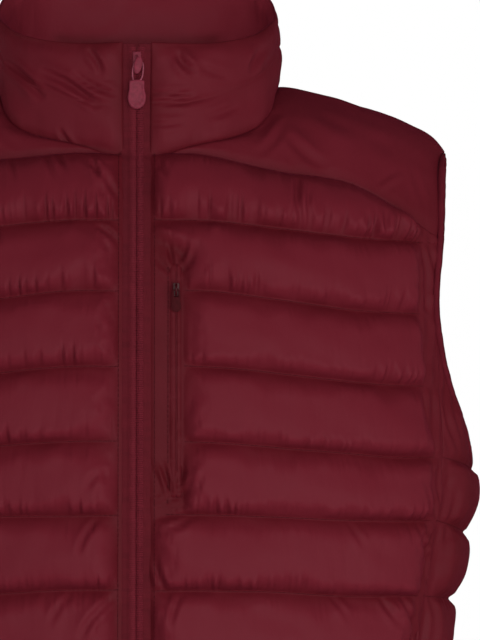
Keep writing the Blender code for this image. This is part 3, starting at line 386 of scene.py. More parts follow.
# Creases in millimetres: start x and z, end x and z, sideways bow, depth, width.
CREASES = {
    "collar": (
        (-86.7, 8.4, -63.8, -15.9, -1.5, 2.2, 2.6),
        (-61.1, 0.3, -27.3, -22.7, -2, 2.6, 2.8),
        (-40.8, -2.4, -15.2, -15.9, 1.5, 2, 2.2),
        (-32.1, 13.8, -23.3, -0.4, -1, 2.2, 2),
        (26.7, 11.1, 36.1, 0.3, 1, 2.8, 2.8),
        (9.1, -15.2, 36.1, -14.6, 0.6, 1.8, 1.8),
        (10.5, -21.3, 32.7, -21.3, -0.6, 1.6, 1.8),
        (9.1, -36.2, 29.4, -34.8, 0.8, 1.2, 1.8),
        (84.7, 20.5, 75.2, 3, 1, 1.3, 2.6),
        (-51.6, -38.9, -42.2, -53.7, 0.5, 1.5, 1.8),
        (40, 4, 60, -2, 1, 0.9, 2.6),
        (48, -30, 66, -22, 1, 0.9, 2.6),
    ),
    "collar_back": (
        (-60, 60, -38, 40, 2, 1.8, 2.6),
        (-20, 70, -6, 52, 1, 1.4, 2.4),
        (34, 66, 52, 44, -2, 1.8, 2.6),
        (8, 38, 30, 20, 1.5, 1.5, 2.6),
        (-48, 30, -26, 14, 1.5, 1.4, 2.6),
        (60, 36, 74, 18, 1, 1.4, 2.4),
    ),
    "front_right": (
        (-52.9, -56, -46.2, -70.6, 1, 1.6, 1.8),
        (-61.2, -57.6, -53.9, -76.2, 1, 1.5, 1.8),
        (-34.6, -64.3, -13, -87.5, -1.5, 2.2, 2.2),
        (-29.6, -61.9, -24.3, -78.2, 0.5, 1.6, 1.8),
        (-84.1, -62.6, -80.1, -77.9, 0.5, 1.2, 1.8),
        (-26.3, -107.5, -13.3, -118.1, -1, 2, 2.2),
        (-21, -270, -33, -281, 1, 1.4, 2.4),
        (-25.6, -303.3, -37.6, -322.9, 1.5, 1.4, 2.2),
        (-14.3, -354.5, -36.2, -378.8, 2, 2, 2.6),
        (-44.2, -352.8, -56.2, -370.8, 1, 1.1, 2.4),
        (-150, -112, -146, -132, 0.5, 1.4, 2.2),
        (-96, -103, -90, -120, 0.5, 1.2, 2.2),
        (-178, -262, -166, -280, 1, 1.5, 2.4),
        (-16, -455, -34, -476, 1, 1.5, 2.4),
        (-160, -500, -146, -520, 1, 1.4, 2.4),
        (-60, -550, -52, -572, 1, 1.2, 2.4),
    ),
    "front_left": (
        (107.4, -76.5, 105.6, -100.8, 0.8, 2.4, 2.4),
        (113.5, -86, 112.8, -101.5, 0.3, 1.2, 1.8),
        (164.6, -98.2, 164.6, -112.8, 0.5, 1.8, 2),
        (152, -100.2, 151, -111.8, 0.5, 1.2, 1.8),
        (40.2, -281.4, 19, -290, -1.2, 2.2, 2),
        (36.9, -302, 15.6, -310, -1.2, 2, 2.2),
        (18, -268.1, 23.6, -285.7, 0.8, 1.6, 1.8),
        (31.3, -268.1, 26.6, -285.7, -0.8, 1.6, 1.8),
        (38, -272, 29, -286, -0.8, 1.4, 1.8),
        (44, -268, 27, -284, 1, -1.5, 2),
        (12, -266, 21, -283, -0.8, -1.4, 1.8),
        (10, -290, 21.5, -287.5, 0.4, -1.2, 1.8),
        (37, -122, 27, -136.5, -0.6, -0.8, 1.8),
        (15, -121, 23.5, -135.5, 0.5, -0.6, 1.6),
        (12.6, -129.8, 22.6, -137.1, 0.6, 1.4, 1.6),
        (38.2, -128.8, 28.6, -138.1, -0.6, 1.6, 1.8),
        (34, -120, 27.4, -134, -0.6, 1.4, 1.6),
        (21.3, -118.5, 24.9, -132.8, 0.4, 1.4, 1.6),
        (175.2, -352.5, 190.5, -385.1, 1, 1.8, 2.2),
        (161.9, -353.9, 173.6, -373.2, 1, 1.6, 2.2),
        (128.7, -351.2, 138, -366.5, 0.8, 1.2, 2),
        (187.2, -308, 197.5, -333.9, 0.8, 1.6, 2.2),
        (14.3, -60.6, 20.6, -76.6, 0.8, 1.6, 2),
        (12.3, -329.9, 20.6, -351.9, 1, 1.8, 2.2),
        (142, -305.9, 148.6, -318.9, 0.6, 1, 2),
        (30, -352, 22, -372, 0.8, 1.4, 2.2),
        (14, -402, 32, -424, 1, 1.5, 2.4),
        (170, -455, 182, -476, 1, 1.4, 2.4),
        (60, -500, 70, -522, 1, 1.2, 2.4),
        (16, -548, 34, -570, 1, 1.5, 2.4),
        (120, -598, 112, -618, 1, 1.2, 2.4),
    ),
    "yoke_left": (
        (100.5, -45.7, 126.7, -66.5, 2, 1.8, 3),
        (178, -70.9, 160, -84.6, 1, -1.6, 2.4),
        (82.3, -58.7, 98.4, -37.9, 1.5, 1.6, 3.2),
        (92.7, -27.2, 82.3, -46.6, 1.5, 2, 4),
        (112, -30, 140, -50, 2, -1.2, 5),
        (188, -66, 196, -90, 0.6, 1.2, 2.6),
    ),
    "yoke_right": (
        (-98.5, -41.7, -124.7, -63.5, -2, 1.6, 3),
        (-174, -68.9, -156, -80.6, -1, -1.4, 2.4),
        (-80.3, -52.7, -97.4, -35.9, -1.5, 1.5, 3.2),
        (-188, -62, -196, -88, -0.6, 1.2, 2.6),
    ),
    "back": (
        (-140, -62, -120, -84, 1.5, 1.6, 2.8),
        (-60, -58, -52, -80, 1, 1.2, 2.6),
        (70, -60, 84, -82, 1, 1.4, 2.6),
        (150, -72, 158, -96, 0.8, 1.4, 2.6),
        (-180, -130, -164, -150, 1, 1.6, 2.6),
        (120, -158, 126, -178, 0.8, 1.2, 2.4),
        (-90, -208, -82, -228, 0.8, 1.2, 2.4),
        (20, -256, 30, -276, 0.8, 1.2, 2.4),
        (168, -262, 184, -284, 0.8, 1.6, 2.6),
        (-186, -306, -170, -330, 0.8, 1.6, 2.6),
        (-40, -352, -34, -372, 0.8, 1.2, 2.4),
        (96, -404, 104, -424, 0.8, 1.2, 2.4),
        (-176, -452, -166, -472, 0.8, 1.4, 2.4),
        (160, -502, 172, -522, 0.8, 1.4, 2.4),
        (-110, -548, -104, -570, 0.8, 1.2, 2.4),
        (40, -598, 46, -618, 0.8, 1.2, 2.4),
    ),
}

# Sewing.
STITCH_LENGTH = 2.5 * MM
STITCH_PITCH = 3.3 * MM
STITCH_RISE = 0.22 * MM       # thread above the cloth
POCKET_STITCH_RISE = 0.25 * MM
THREAD_RADIUS = 0.24 * MM
THREAD_SIDES = 5
STITCHED_FROM = 0.12          # no stitches where the puff's share is under this
TOPSTITCH_INSET = 3.0 * MM    # from the edge beside the zip to its stitching
POCKET_STITCH_X = -5.4 * MM   # from the pocket zip to the stitching beside it

# Bound edges.
BINDING_OVERLAP = 0.9 * MM    # the binding laps this far over the cloth's edge
BINDING_GATHER = 0.45 * MM
BINDING_OUTER = 0.9           # gathers push out what lies past this share of its depth
BINDING_GATHERS = ((3.6 * MM, 0.6), (9.0 * MM, 0.42))   # spacing and share of that
BINDING_CALM = 12.0 * MM      # they fade out over this at its ends
GATHER_UP, GATHER_OUT = 0.8, 0.5        # share that goes up and outwards
BINDING_STITCH = (1.9 * MM, 1.08)       # inset, and height as a share of the thickness
ARMHOLE_RAISE = 1.3 * MM      # the armhole bindings stand this far out
FRONT_BULGE = 1.4 * MM        # and this much farther below the shoulder, at the front
BULGE_ANGLE, BULGE_WIDTH = 0.55, 0.3    # in radians from the armhole's top
TIP_SINK = 2.4 * MM           # and sink by this at the shoulder tip
TIP_WIDTH = 0.25
TIP_SHARE = 0.35              # share of their depth that is left at the shoulder tip
TIP_START, TIP_BLEND = 0.1, 0.4          # in radians from the tip

STRIP_WIDTH = 14.0 * MM       # of a strip's cloth coordinates, round it

# Zips.
COIL_PITCH = 1.25 * MM
COIL_RADIUS = 0.52 * MM
COIL_LENGTH = 4.6 * MM
COIL_SIDES = 8
COIL_GAP = 0.03 * MM
COIL_RISES = (1.0 * MM, 0.62 * MM)      # left and right, in front of the tape's middle
COIL_FOOT, COIL_HEAD = 1.0 * MM, 3.0 * MM     # the coil stops this short of the tape
PARTED = 0.9 * MM             # how far the tapes part above the slider
ZIP_CROWDING = 0.4            # how much its steps crowd together at the collar
# Section of a tape: x from the middle and depth, in millimetres, negative to the front.
TAPE_SECTION = (
    (0.25, 0.9), (0.25, -0.75), (0.45, -0.95), (2.6, -1.0), (4.9, -0.95), (5.5, -0.75),
    (5.9, -0.5), (7.2, -0.5), (8.6, -0.45), (9.6, -0.2), (11.5, 0.3), (11.5, 0.7),
    (9.4, 0.6), (5.9, 0.5),
    (5.2, 0.9),
)
TAPE_CREST = 6.0 * MM         # the part of it that stands over the coil
POCKET_RISE = 0.9 * MM        # height of the pocket's lips and coil
POCKET_SINK = -1.2 * MM       # their ends go this far into the cloth
POCKET_PAST = 3.5 * MM        # and this far past the zip
POCKET_ENDS = 6.0 * MM
POCKET_STITCH_PAST = 3.0 * MM
POCKET_WAVES = ((3.0 * MM, 0.35 * MM), (8.0 * MM, 0.3 * MM))
# Offset from the pocket zip to each strip, and its width.
OUTER_LIP = (0.4 * MM, 3.4 * MM)
INNER_LIP = (-4.6 * MM, 4.2 * MM)
POCKET_COIL_PLACE = (-0.9 * MM, 1.8 * MM)
# Sections of the strips, as shares of their width and height.
WELT = ((0, -0.6), (1, -0.8), (1.02, 0.2), (0.86, 0.8), (0.6, 0.85), (0.25, 0.4))
POCKET_BAR = ((0, -0.5), (1, -0.5), (1, 0), (0.75, 0.25), (0.25, 0.25), (0, 0))

# Pull of the front zip, and the cover in front of its bail.
PULL_HINGE = (0.0, -0.097928, 0.0064)
PULL_WIRE = 0.6 * MM          # radius
PULL_LOOP = (8.2 * MM, 14.6 * MM)
LOOP_LEAN = 1.4 * MM          # its top stands this far to the side
LOOP_POWER = 0.8
TAB_THICKNESS = 1.9           # in millimetres
COVER_HALVES = (2.8 * MM, 0.95 * MM, 6.0 * MM)
COVER_PLACE = (0.8 * MM, -2.15 * MM, -3.4 * MM)
COVER_LEAN = 12               # degrees
COVER_POWER = 0.7
COVER_END = 0.97              # share of a quarter turn where its rings stop
# Outline of the tab below the hinge, in millimetres: height and half width.
TAB_OUTLINE = (
    (-32.9, 0.4), (-32.6, 1.9), (-31.7, 3.4), (-30.2, 4.7), (-28.4, 5.6), (-26.3, 6.1),
    (-24.2, 6.15), (-22.4, 5.85), (-20.8, 5.4), (-19.0, 5.15), (-16.5, 5.15), (-14.6, 5.15),
    (-13.6, 4.9), (-13.1, 4.3), (-12.9, 0.5),
)
# Faces of the tab from front to back: share of the outline, share of the thickness.
TAB_FACE = (
    (0.02, -0.36), (0.55, -0.36), (0.68, -0.38), (0.74, -0.48), (0.86, -0.50), (0.94, -0.44),
    (1.0, -0.22), (1.0, 0.22), (0.94, 0.44), (0.86, 0.50), (0.74, 0.48), (0.68, 0.38),
    (0.55, 0.36), (0.02, 0.36),
)
# Rounding of the edges of the other hard pieces.
SOFT_EDGES = {"pocket_slider": 0.25 * MM, "pocket_pull": 0.22 * MM,
              "zip_slider": 0.3 * MM, "zip_box": 0.3 * MM}
SHARP_ANGLE, FLAT_ANGLE = 35, 3         # degrees
SAME_POINT = 0.01 * MM

# Colours.
# Shaded and lit copies of the shell's colour: painted shade and painted light.
SHADED_BURGUNDY = (0.108, 0.0075, 0.0125)
LIT_BURGUNDY = (0.158, 0.0130, 0.0235)
# Shaded and lit copies of the colour for the collar's lining, lighter than the shell's: painted
# light.
SHADED_LINING = (0.135, 0.0095, 0.0160)
LIT_LINING = (0.225, 0.0190, 0.0335)
TRIM_BURGUNDY = (0.130, 0.0100, 0.0190)
TAPE_BURGUNDY = (0.125, 0.0100, 0.0175)
COIL_BURGUNDY = (0.165, 0.0160, 0.0275)
THREAD_BURGUNDY = (0.088, 0.0068, 0.0115)
PULL_ROSE = (0.225, 0.0265, 0.0490)
WIRE_ROSE = (0.330, 0.075, 0.110)
POCKET_DARK = (0.058, 0.0062, 0.0088)
POCKET_COIL = (0.098, 0.0080, 0.0135)
NYLON_SHEEN = (0.90, 0.07, 0.20, 1.0)
NYLON_GLOSS = (1.0, 0.75, 0.80, 1.0)
TRIM_SHEEN = (0.8, 0.16, 0.22, 1.0)
PAPER = ((0.80, 0.80, 0.80), (0.84, 0.84, 0.84))

# View and light.
PIXEL = 0.70 * MM             # of the picture, in the plane between front and back
PICTURE = (480, 640)
MIDDLE_PIXEL = 136.5          # column of the zip
LEVEL_PIXEL = 515             # row at the height of the eye
EYE_DISTANCE = 2.5
EYE_HEIGHT = -0.300
SENSOR = 36                   # millimetres
FAR_END = 100
FLOOR_HEIGHT = -1.45
FLOOR_RADIUS = 7.0
WORLD_STRENGTH = 1.0
WORLD_STOPS = ((0.16, 1.0), (0.30, 0.10))     # height on the sky, brightness
LIGHT_AIM = (0.05, 0.0, -0.25)
# Name, place, size, power, and whether its gloss shows.
LIGHTS = (
    ("key_front", (0.46, -0.93, -0.50), (0.7, 0.5), 2.9, True),
    ("fill_front", (0.20, -2.5, 0.15), (1.4, 0.8), 15.0, True),
    ("side_right", (2.4, 0.9, -0.3), (1.0, 0.8), 6.0, False),
    ("side_left", (-2.4, 0.9, -0.3), (1.0, 0.8), 9.0, False),
    ("back_key", (-0.9, 2.3, -0.5), (1.3, 0.9), 30.0, False),
    ("top_soft", (0.0, 0.0, 1.8), (2.4, 2.4), 2.0, False),
)


# ---------------------------------------------------------------- small helpers

def mix(start, end, t):
    return start + (end - start) * t


def ease(t):
    t = np.clip(t, 0.0, 1.0)
    return t * t * (3 - 2 * t)


def signed_power(value, power):
    return np.sign(value) * np.abs(value) ** power


def unit(vectors):
    return vectors / np.linalg.norm(vectors, axis=-1, keepdims=True)


def points_of(*axes):
    return np.stack(np.broadcast_arrays(*axes), axis=-1)


def word_of(hand):
    """The wearer's left is hand 1, the right is hand -1."""
    return "left" if hand > 0 else "right"


def mirrored(points, hand):
    return points * np.array((hand, 1, 1))


def read(table, columns, at, column):
    """Smooth values of a column at places between the rows, by the first column."""
    rows = np.array(sorted(table, key=lambda row: row[0]))
    keys, values = rows[:, 0], rows[:, columns.index(column)]
    slopes = np.empty(len(keys))
    slopes[1:-1] = (values[2:] - values[:-2]) / (keys[2:] - keys[:-2])
    slopes[0] = (values[1] - values[0]) / (keys[1] - keys[0])
    slopes[-1] = (values[-1] - values[-2]) / (keys[-1] - keys[-2])
    at = np.clip(at, keys[0], keys[-1])
    low = np.clip(np.searchsorted(keys, at) - 1, 0, len(keys) - 2)
    span = keys[low + 1] - keys[low]
    t = (at - keys[low]) / span
    return (
        (2 * t ** 3 - 3 * t ** 2 + 1) * values[low]
        + (t ** 3 - 2 * t ** 2 + t) * span * slopes[low]
        + (3 * t ** 2 - 2 * t ** 3) * values[low + 1]
        + (t ** 3 - t ** 2) * span * slopes[low + 1]
    )


def read_round(table, columns, turn, column):
    """As read, for a table that goes half round the neck and is mirrored there."""
    sign = -1 if column == "x" else 1
    index = columns.index(column)
    first, last = table[1], table[-2]
    rows = [list(row) for row in
            ((-first[0],) + first[1:], *table, (360 - last[0],) + last[1:])]
    rows[0][index] *= sign
    rows[-1][index] *= sign
    turn = np.asarray(turn, float) % 360
    folded = np.where(turn > 180, 360 - turn, turn)
    return np.where(turn > 180, sign, 1) * read(rows, columns, folded, column)


# ---------------------------------------------------------------- the torso form

def ridge(x):
    return read(RIDGE, RIDGE_COLUMNS, np.abs(x), "height")


def oval(z, side):
    """Half width and depth of the form at a height; the side is negative at the front."""
    front = read(FORM, FORM_COLUMNS, z, "front_depth")
    back = read(FORM, FORM_COLUMNS, z, "back_depth")
    return read(FORM, FORM_COLUMNS, z, "half_width"), np.where(np.asarray(side) < 0, front, back)


def form_depth(x, z, side):
    half_width, depth = oval(z, side)
    across = 1 - (np.abs(x) / half_width) ** OVAL_POWER
    down = np.clip((ridge(x) - z) / SHOULDER_ROUND, 0, 1)
    rounding = np.sqrt(1 - (1 - down) ** 2)
    return depth * np.clip(across, 0, None) ** (1 / OVAL_POWER) * rounding


def on_form(x, roll):
    """Points of the form: x from the centre, roll down from the shoulder ridge."""
    x, roll = np.broadcast_arrays(x, roll)
    side = np.where(roll >= 0, -1.0, 1.0)
    size = np.abs(roll)
    down = np.where(size < math.pi / 2, 1 - np.cos(size), 1 + size - math.pi / 2)
    z = ridge(x) - SHOULDER_ROUND * down
    return points_of(x, side * form_depth(x, z, side), z)


def roll_at(x, z, side=-1):
    down = np.clip((ridge(x) - z) / SHOULDER_ROUND, 0, None)
    size = np.where(down < 1, np.arccos(1 - np.clip(down, 0, 1)), math.pi / 2 + down - 1)
    return -side * size


def form_place(point):
    """The x and the roll of a point of the form."""
    x, y, z = point[..., 0], point[..., 1], point[..., 2]
    return x, roll_at(x, z, np.where(y < 0, -1, 1))


def halved(near, far, is_near):
    """The place between two where the answer changes, found by halving."""
    for _ in range(HALVINGS):
        middle = (near + far) / 2
        hit = is_near(middle)
        near, far = np.where(hit, middle, near), np.where(hit, far, middle)
    return near, far


def form_x(y, z):
    """Half width of the form at a depth and a height."""
    side = np.where(np.asarray(y) < 0, -1, 1)
    shape = np.shape(y + z)
    near, far = halved(np.zeros(shape), np.full(shape, WIDEST),
                       lambda x: form_depth(x, z, side) > np.abs(y))
    return (near + far) / 2


def outsideness(points):
    x, y, z = points[..., 0], points[..., 1], points[..., 2]
    half_width, depth = oval(z, y)
    bulge = signed_power(1 - (np.abs(x) / half_width) ** OVAL_POWER, 2 / OVAL_POWER)
    shoulder = np.clip(1 - (ridge(x) - z) / SHOULDER_ROUND, 0, None)
    return (y / depth) ** 2 - bulge * (1 - shoulder ** 2)


def form_normal(points):
    """Outward directions of the form at points on it."""
    step = NORMAL_STEP * np.eye(3)
    slopes = [outsideness(points + step[axis]) - outsideness(points - step[axis])
              for axis in range(3)]
    return unit(np.stack(slopes, axis=-1))


def lifted(x, z, height):
    """Points at a height over the front of the form."""
    base = on_form(x, roll_at(x, z))
    return base + form_normal(base) * np.asarray(height)[..., None]


# ---------------------------------------------------------------- seams and edges

def seam_height(row, x):
    centre, side_drop, _ = row
    return centre - side_drop * ease((np.abs(x) - DROP_START) / (DROP_END - DROP_START))


def quilt_height(count, x, seed):
    """Height of a quilting seam, which strays a little between its ends."""
    if count == len(SEAMS) - 1:
        return seam_height(SEAMS[count], x)
    stray = SEAM_WAVER * waves(seed + count, x, SEAM_WAVER_LENGTH)
    stray = stray * ease((SEAM_WAVER_END - np.abs(x)) / SEAM_WAVER_FADE)
    return seam_height(SEAMS[count], x) + stray


def yoke_seam_height(x, hand):
    return read(YOKE_SEAM, YOKE_SEAM_COLUMNS, x, word_of(hand) + "_height")


def armhole_depth(z):
    reach = np.clip(np.abs(z - ARMHOLE_MIDDLE) / ARMHOLE_HALF_HEIGHT, 0, 1)
    return ARMHOLE_HALF_DEPTH * (1 - reach ** ARMHOLE_POWER) ** (1 / ARMHOLE_POWER)


def armhole_point(angle):
    """Points of the armhole; angle 0 is its top, and it is positive at the front."""
    power = 2 / ARMHOLE_POWER
    y = -ARMHOLE_HALF_DEPTH * signed_power(np.sin(angle), power)
    z = ARMHOLE_MIDDLE + ARMHOLE_HALF_HEIGHT * signed_power(np.cos(angle), power)
    return points_of(form_x(y, z), y, z)


def arm_arc_height(across):
    """Height where the armhole crosses a line at this share of the side panel's width."""
    low, _ = halved(np.full(across.shape, ARMHOLE_MIDDLE - ARMHOLE_HALF_HEIGHT),
                    np.full(across.shape, SIDE_SEAM_TOP),
                    lambda z: armhole_depth(z) <= np.abs(across) * side_seam_depth(z))
    return low


def side_seam_depth(z):
    stray = SIDE_WAVER * waves(SEEDS["side_seam"], z, SIDE_WAVER_LENGTH)
    stray = stray * ease((SIDE_SEAM_TOP - z) / SIDE_WAVER_START)
    return read(SIDE_SEAM, SIDE_SEAM_COLUMNS, z, "depth") + stray


def panel_edge_x(z, side):
    """Where a front (side -1) or the back (side 1) ends at a height."""
    armhole = armhole_depth(z)
    depth = np.where(z > SIDE_SEAM_TOP, armhole, np.maximum(side_seam_depth(z), armhole))
    return form_x(side * depth, z) + SEAM_LAP


def collar_base_place(turn):
    """The x and the roll of the collar's base."""
    x, roll = (read_round(COLLAR_BASE, COLLAR_BASE_COLUMNS, turn, name)
               for name in ("x", "roll_degrees"))
    return x, np.radians(roll)


def shoulder_seam_ends():
    """Turn and armhole angle where the shoulder seam meets the collar and the armhole."""
    turns = np.linspace(*SHOULDER_TURNS, SEARCH_STEPS)
    turn = turns[np.argmax(collar_base_place(turns)[1] <= SHOULDER_SEAM_ROLL)]
    angles = np.linspace(*SHOULDER_ANGLES, SEARCH_STEPS)
    tip = angles[np.argmax(form_place(armhole_point(angles))[1] <= SHOULDER_SEAM_ROLL)]
    return turn, tip


# ---------------------------------------------------------------- what the filling does

def waves(seed, at, length):
    """Smooth uneven waves along a line, between -1 and 1."""
    values = np.random.default_rng(seed).uniform(-1, 1, WAVE_VALUES)
    place = np.asarray(at) / length + WAVE_START
    low = np.floor(place).astype(int)
    return mix(values[low % WAVE_VALUES], values[(low + 1) % WAVE_VALUES], ease(place - low))


def swell(seed, along, down, length, depth):
    """Smooth uneven hills over a surface, between -1 and 1."""
    count = SWELL_VALUES
    values = np.random.default_rng(seed).uniform(-1, 1, (count, count))
    a, b = np.broadcast_arrays(along / length + SWELL_START, down / depth + SWELL_START)
    i, j = np.floor(a).astype(int), np.floor(b).astype(int)
    s, t = ease(a - i), ease(b - j)
    i0, i1, j0, j1 = i % count, (i + 1) % count, j % count, (j + 1) % count
    return mix(mix(values[i0, j0], values[i1, j0], s), mix(values[i0, j1], values[i1, j1], s), t)


def swells(seed, along, down):
    return sum(size * swell(seed + count, along, down, length, depth)
               for count, (length, depth, size) in enumerate(SWELLS))


def band_puff(v, height):
    """Puff of a baffle: 0 at its seams, 1 at its crest, less where it is narrow."""
    crest_power, flank_power = PUFF_POWERS
    crest = np.clip(1 - np.abs(2 * v ** CREST_SHARE - 1) ** crest_power, 0, None) ** flank_power
    return crest * np.clip(height / BAFFLE_DEPTH, 0, 1) ** NARROW_POWER


def groove(distance, width, seed, along, strength=1.0):
    """Share of the full puff beside a seam, whose groove is unevenly wide along it."""
    spacing, sharpness, depth, less = PLEATS
    pleats = depth * (1 - np.abs(waves(seed, along, spacing)) ** sharpness) - less
    spacing, share, variation, least, most = PATCHES
    patches = np.clip(share + variation * waves(seed + 2, along, spacing), least, most)
    spacing, share = GROOVE_WAVER
    uneven = strength * patches * pleats + share * waves(seed + 1, along, spacing)
    reach = width * np.clip(1 + uneven, *GROOVE_LIMITS)
    return np.sin(np.clip(distance / reach, 0, 1) * math.pi / 2)


def crown(v):
    """Share of the puff down a baffle, whose down has sunk."""
    return mix(TOP_SHARE, 1.0, ease(v / CREST_AT))


def quilt_puff(seed, along, v, height, above, below):
    """Share of the full puff: a low crown between the grooves of two seams."""
    plateau = groove(v * height, GROOVE_UNDER, seed + 5, along, BELOW_SHARE * below)
    return plateau * groove((1 - v) * height, GROOVE_OVER, seed + 3, along, above) * crown(v)


def quilt_painted_light(share, v, height, z):
    """Painted lightness of the cloth: less in the upper part of a baffle, as painted shade."""
    low, high = PAINTED_SHADE_BETWEEN
    reach = mix(PAINTED_SHADE_LOW, PAINTED_SHADE_HIGH, ease((z - low) / (high - low)))
    return share / crown(v) * mix(PAINTED_TOP_SHADE, 1.0, ease(v * height / reach))


def side_widths(z):
    """Flat cloth and width of the groove beside the armhole, and beside the side seam."""
    start = ARMHOLE_MIDDLE - UNDER_ARM_START * ARMHOLE_HALF_HEIGHT
    under_arm = ease((start - z) / UNDER_ARM_BLEND)
    return mix(ARMHOLE_FLAT, SIDE_FLAT, under_arm), mix(ARMHOLE_FADE, SIDE_FADE, under_arm)


def placket_flat(hand, z):
    """Where the puff starts beside the front zip: farther out beside the pocket."""
    plain = PLACKET_EDGE + PLACKET_FLAT - PLAIN_LAP
    if hand < 0:
        return np.full(np.shape(z), plain + RIGHT_FLAT)
    beside_pocket = (ease((POCKET_TOP + POCKET_FLAT_ABOVE - z) / POCKET_FLAT_BLEND)
                     * ease((z - POCKET_BOTTOM + POCKET_FLAT_BELOW) / POCKET_FLAT_BLEND))
    return mix(plain, POCKET_X + POCKET_FLAT - POCKET_LAP, beside_pocket)


def gathers(seed, along, away):
    """Height of the small folds beside a seam, at a distance away from it."""
    share, spacing = GATHER_LEAN
    height = 0.0
    for count, (length, reach, size) in enumerate(GATHERS):
        lean = share * away * waves(seed + 7, along, spacing)
        wave = waves(seed + 100 * count, along + lean, length)
        fold = 0.5 * wave + 0.5 * (2 * np.abs(wave) ** FOLD_POWER - FOLD_LEVEL)
        height = height + size * fold * np.exp(-away / reach)
    return height * (1 - np.exp(-away / GATHER_START))


def side_folds(seed, along, away, strength=END_GATHERS):
    """Gathers beside a side seam, and the folds that lie along it."""
    spacing, height, reach, start = SEAM_FOLDS
    sway, sway_spacing = FOLD_SWAY
    share, variation, size_spacing = FOLD_SIZES
    turn = 2 * math.pi * away / spacing + sway * waves(seed + 930, along, sway_spacing)
    size = height * (share + variation * waves(seed + 931, along, size_spacing))
    near = np.exp(-(away / reach) ** 2) * (1 - np.exp(-away / start))
    return strength * gathers(seed + 900, along, away) + size * np.sin(turn) * near


def baffle_folds(seeds, along, band, v, height, down, puff, above=1.0, below=1.0):
    """Gathers at the seams below and above a baffle, and the swells of its down."""
    lower, upper, inner = seeds
    folds = (above * gathers(lower, along + LOWER_SHIFT * band, (1 - v) * height)
             + below * gathers(upper, along + UPPER_SHIFT * band, v * height)
             + swells(inner, along + band, down) * np.clip(puff / SWELL_PUFF, 0, 1))
    return folds * np.clip(FLAT_DETAIL + puff / DETAIL_PUFF, 0, 1)


def between(v, rate):
    """0 at both ends of a piece or a baffle, 1 between them."""
    return np.clip(np.minimum(v, 1 - v) * rate, 0, 1)


def crease_heights(points, rows):
    """Height of the listed creases: a soft trough with low lips beside it."""
    x, z = points[..., 0] / MM, points[..., 2] / MM
    lip_height, lip_place, lip_width = CREASE_LIPS
    height = np.zeros(x.shape)
    for x0, z0, x1, z1, bow, depth, width in rows:
        length = math.hypot(x1 - x0, z1 - z0)
        along_x, along_z = (x1 - x0) / length, (z1 - z0) / length
        along = ((x - x0) * along_x + (z - z0) * along_z) / length
        inside = np.clip(along, 0, 1)
        across = (x - x0) * along_z - (z - z0) * along_x - bow * np.sin(math.pi * inside)
        past = np.abs(along - inside) * length
        distance = np.sqrt(across ** 2 + past ** 2) / width
        taper = np.sqrt(np.clip(np.sin(math.pi * np.clip(along, *CREASE_ENDS)), 0, 1))
        section = (lip_height * np.exp(-((distance - lip_place) / lip_width) ** 2)
                   - CREASE_TROUGH * np.exp(-distance ** 2))
        height += depth * section * taper * np.exp(-(past / (2 * width)) ** 2)
    return height * MM


# ---------------------------------------------------------------- walls of cloth

def linked(name, data):
    """A new object of the scene, at the origin."""
    made = bpy.data.objects.new(name, data)
    bpy.context.scene.collection.objects.link(made)
    return made


def finished(name, points, faces, material, maps=None):
    """A smooth, outward-facing mesh object."""
    data = bpy.data.meshes.new(name)
    data.from_pydata(points.tolist(), [], faces)
    if maps is not None:
        corners = np.empty(len(data.loops), int)
        data.loops.foreach_get("vertex_index", corners)
        data.uv_layers.new(name="cloth").data.foreach_set("uv", maps[corners].ravel())
    data.materials.append(material)
    mesh = bmesh.new()
    mesh.from_mesh(data)
    bmesh.ops.recalc_face_normals(mesh, faces=mesh.faces)
    if mesh.calc_volume(signed=True) < 0:
        bmesh.ops.reverse_faces(mesh, faces=mesh.faces)
    mesh.to_mesh(data)
    mesh.free()
    data.shade_smooth()
    return linked(name, data)


def inside_places(count, step):
    """Every so many places of a row, with its last one."""
    picked = list(range(0, count, step))
    if count - 1 - picked[-1] < step / 2 and len(picked) > 1:
        picked[-1] = count - 1
    elif picked[-1] != count - 1:
        picked.append(count - 1)
    return picked


def inside_cells(rows, columns, step):
    """Loops of (row, column) round each coarse cell, with every border step kept."""
    loops = []
    coarse_rows, coarse_columns = inside_places(rows, step), inside_places(columns, step)
    for r0, r1 in zip(coarse_rows, coarse_rows[1:]):
        for c0, c1 in zip(coarse_columns, coarse_columns[1:]):
            top = range(c0, c1) if r0 == 0 else (c0,)
            right = range(r0, r1) if c1 == columns - 1 else (r0,)
            bottom = range(c1, c0, -1) if r1 == rows - 1 else (c1,)
            left = range(r1, r0, -1) if c0 == 0 else (r1,)
            loops.append([(r0, c) for c in top] + [(r, c1) for r in right]
                         + [(r1, c) for c in bottom] + [(r, c0) for r in left])
    return loops


def grid_faces(index):
    """Four-sided faces between neighbouring rows and columns of point numbers."""
    corners = (index[:-1, :-1], index[:-1, 1:], index[1:, 1:], index[1:, :-1])
    return np.stack(corners, axis=-1).reshape(-1, 4).tolist()


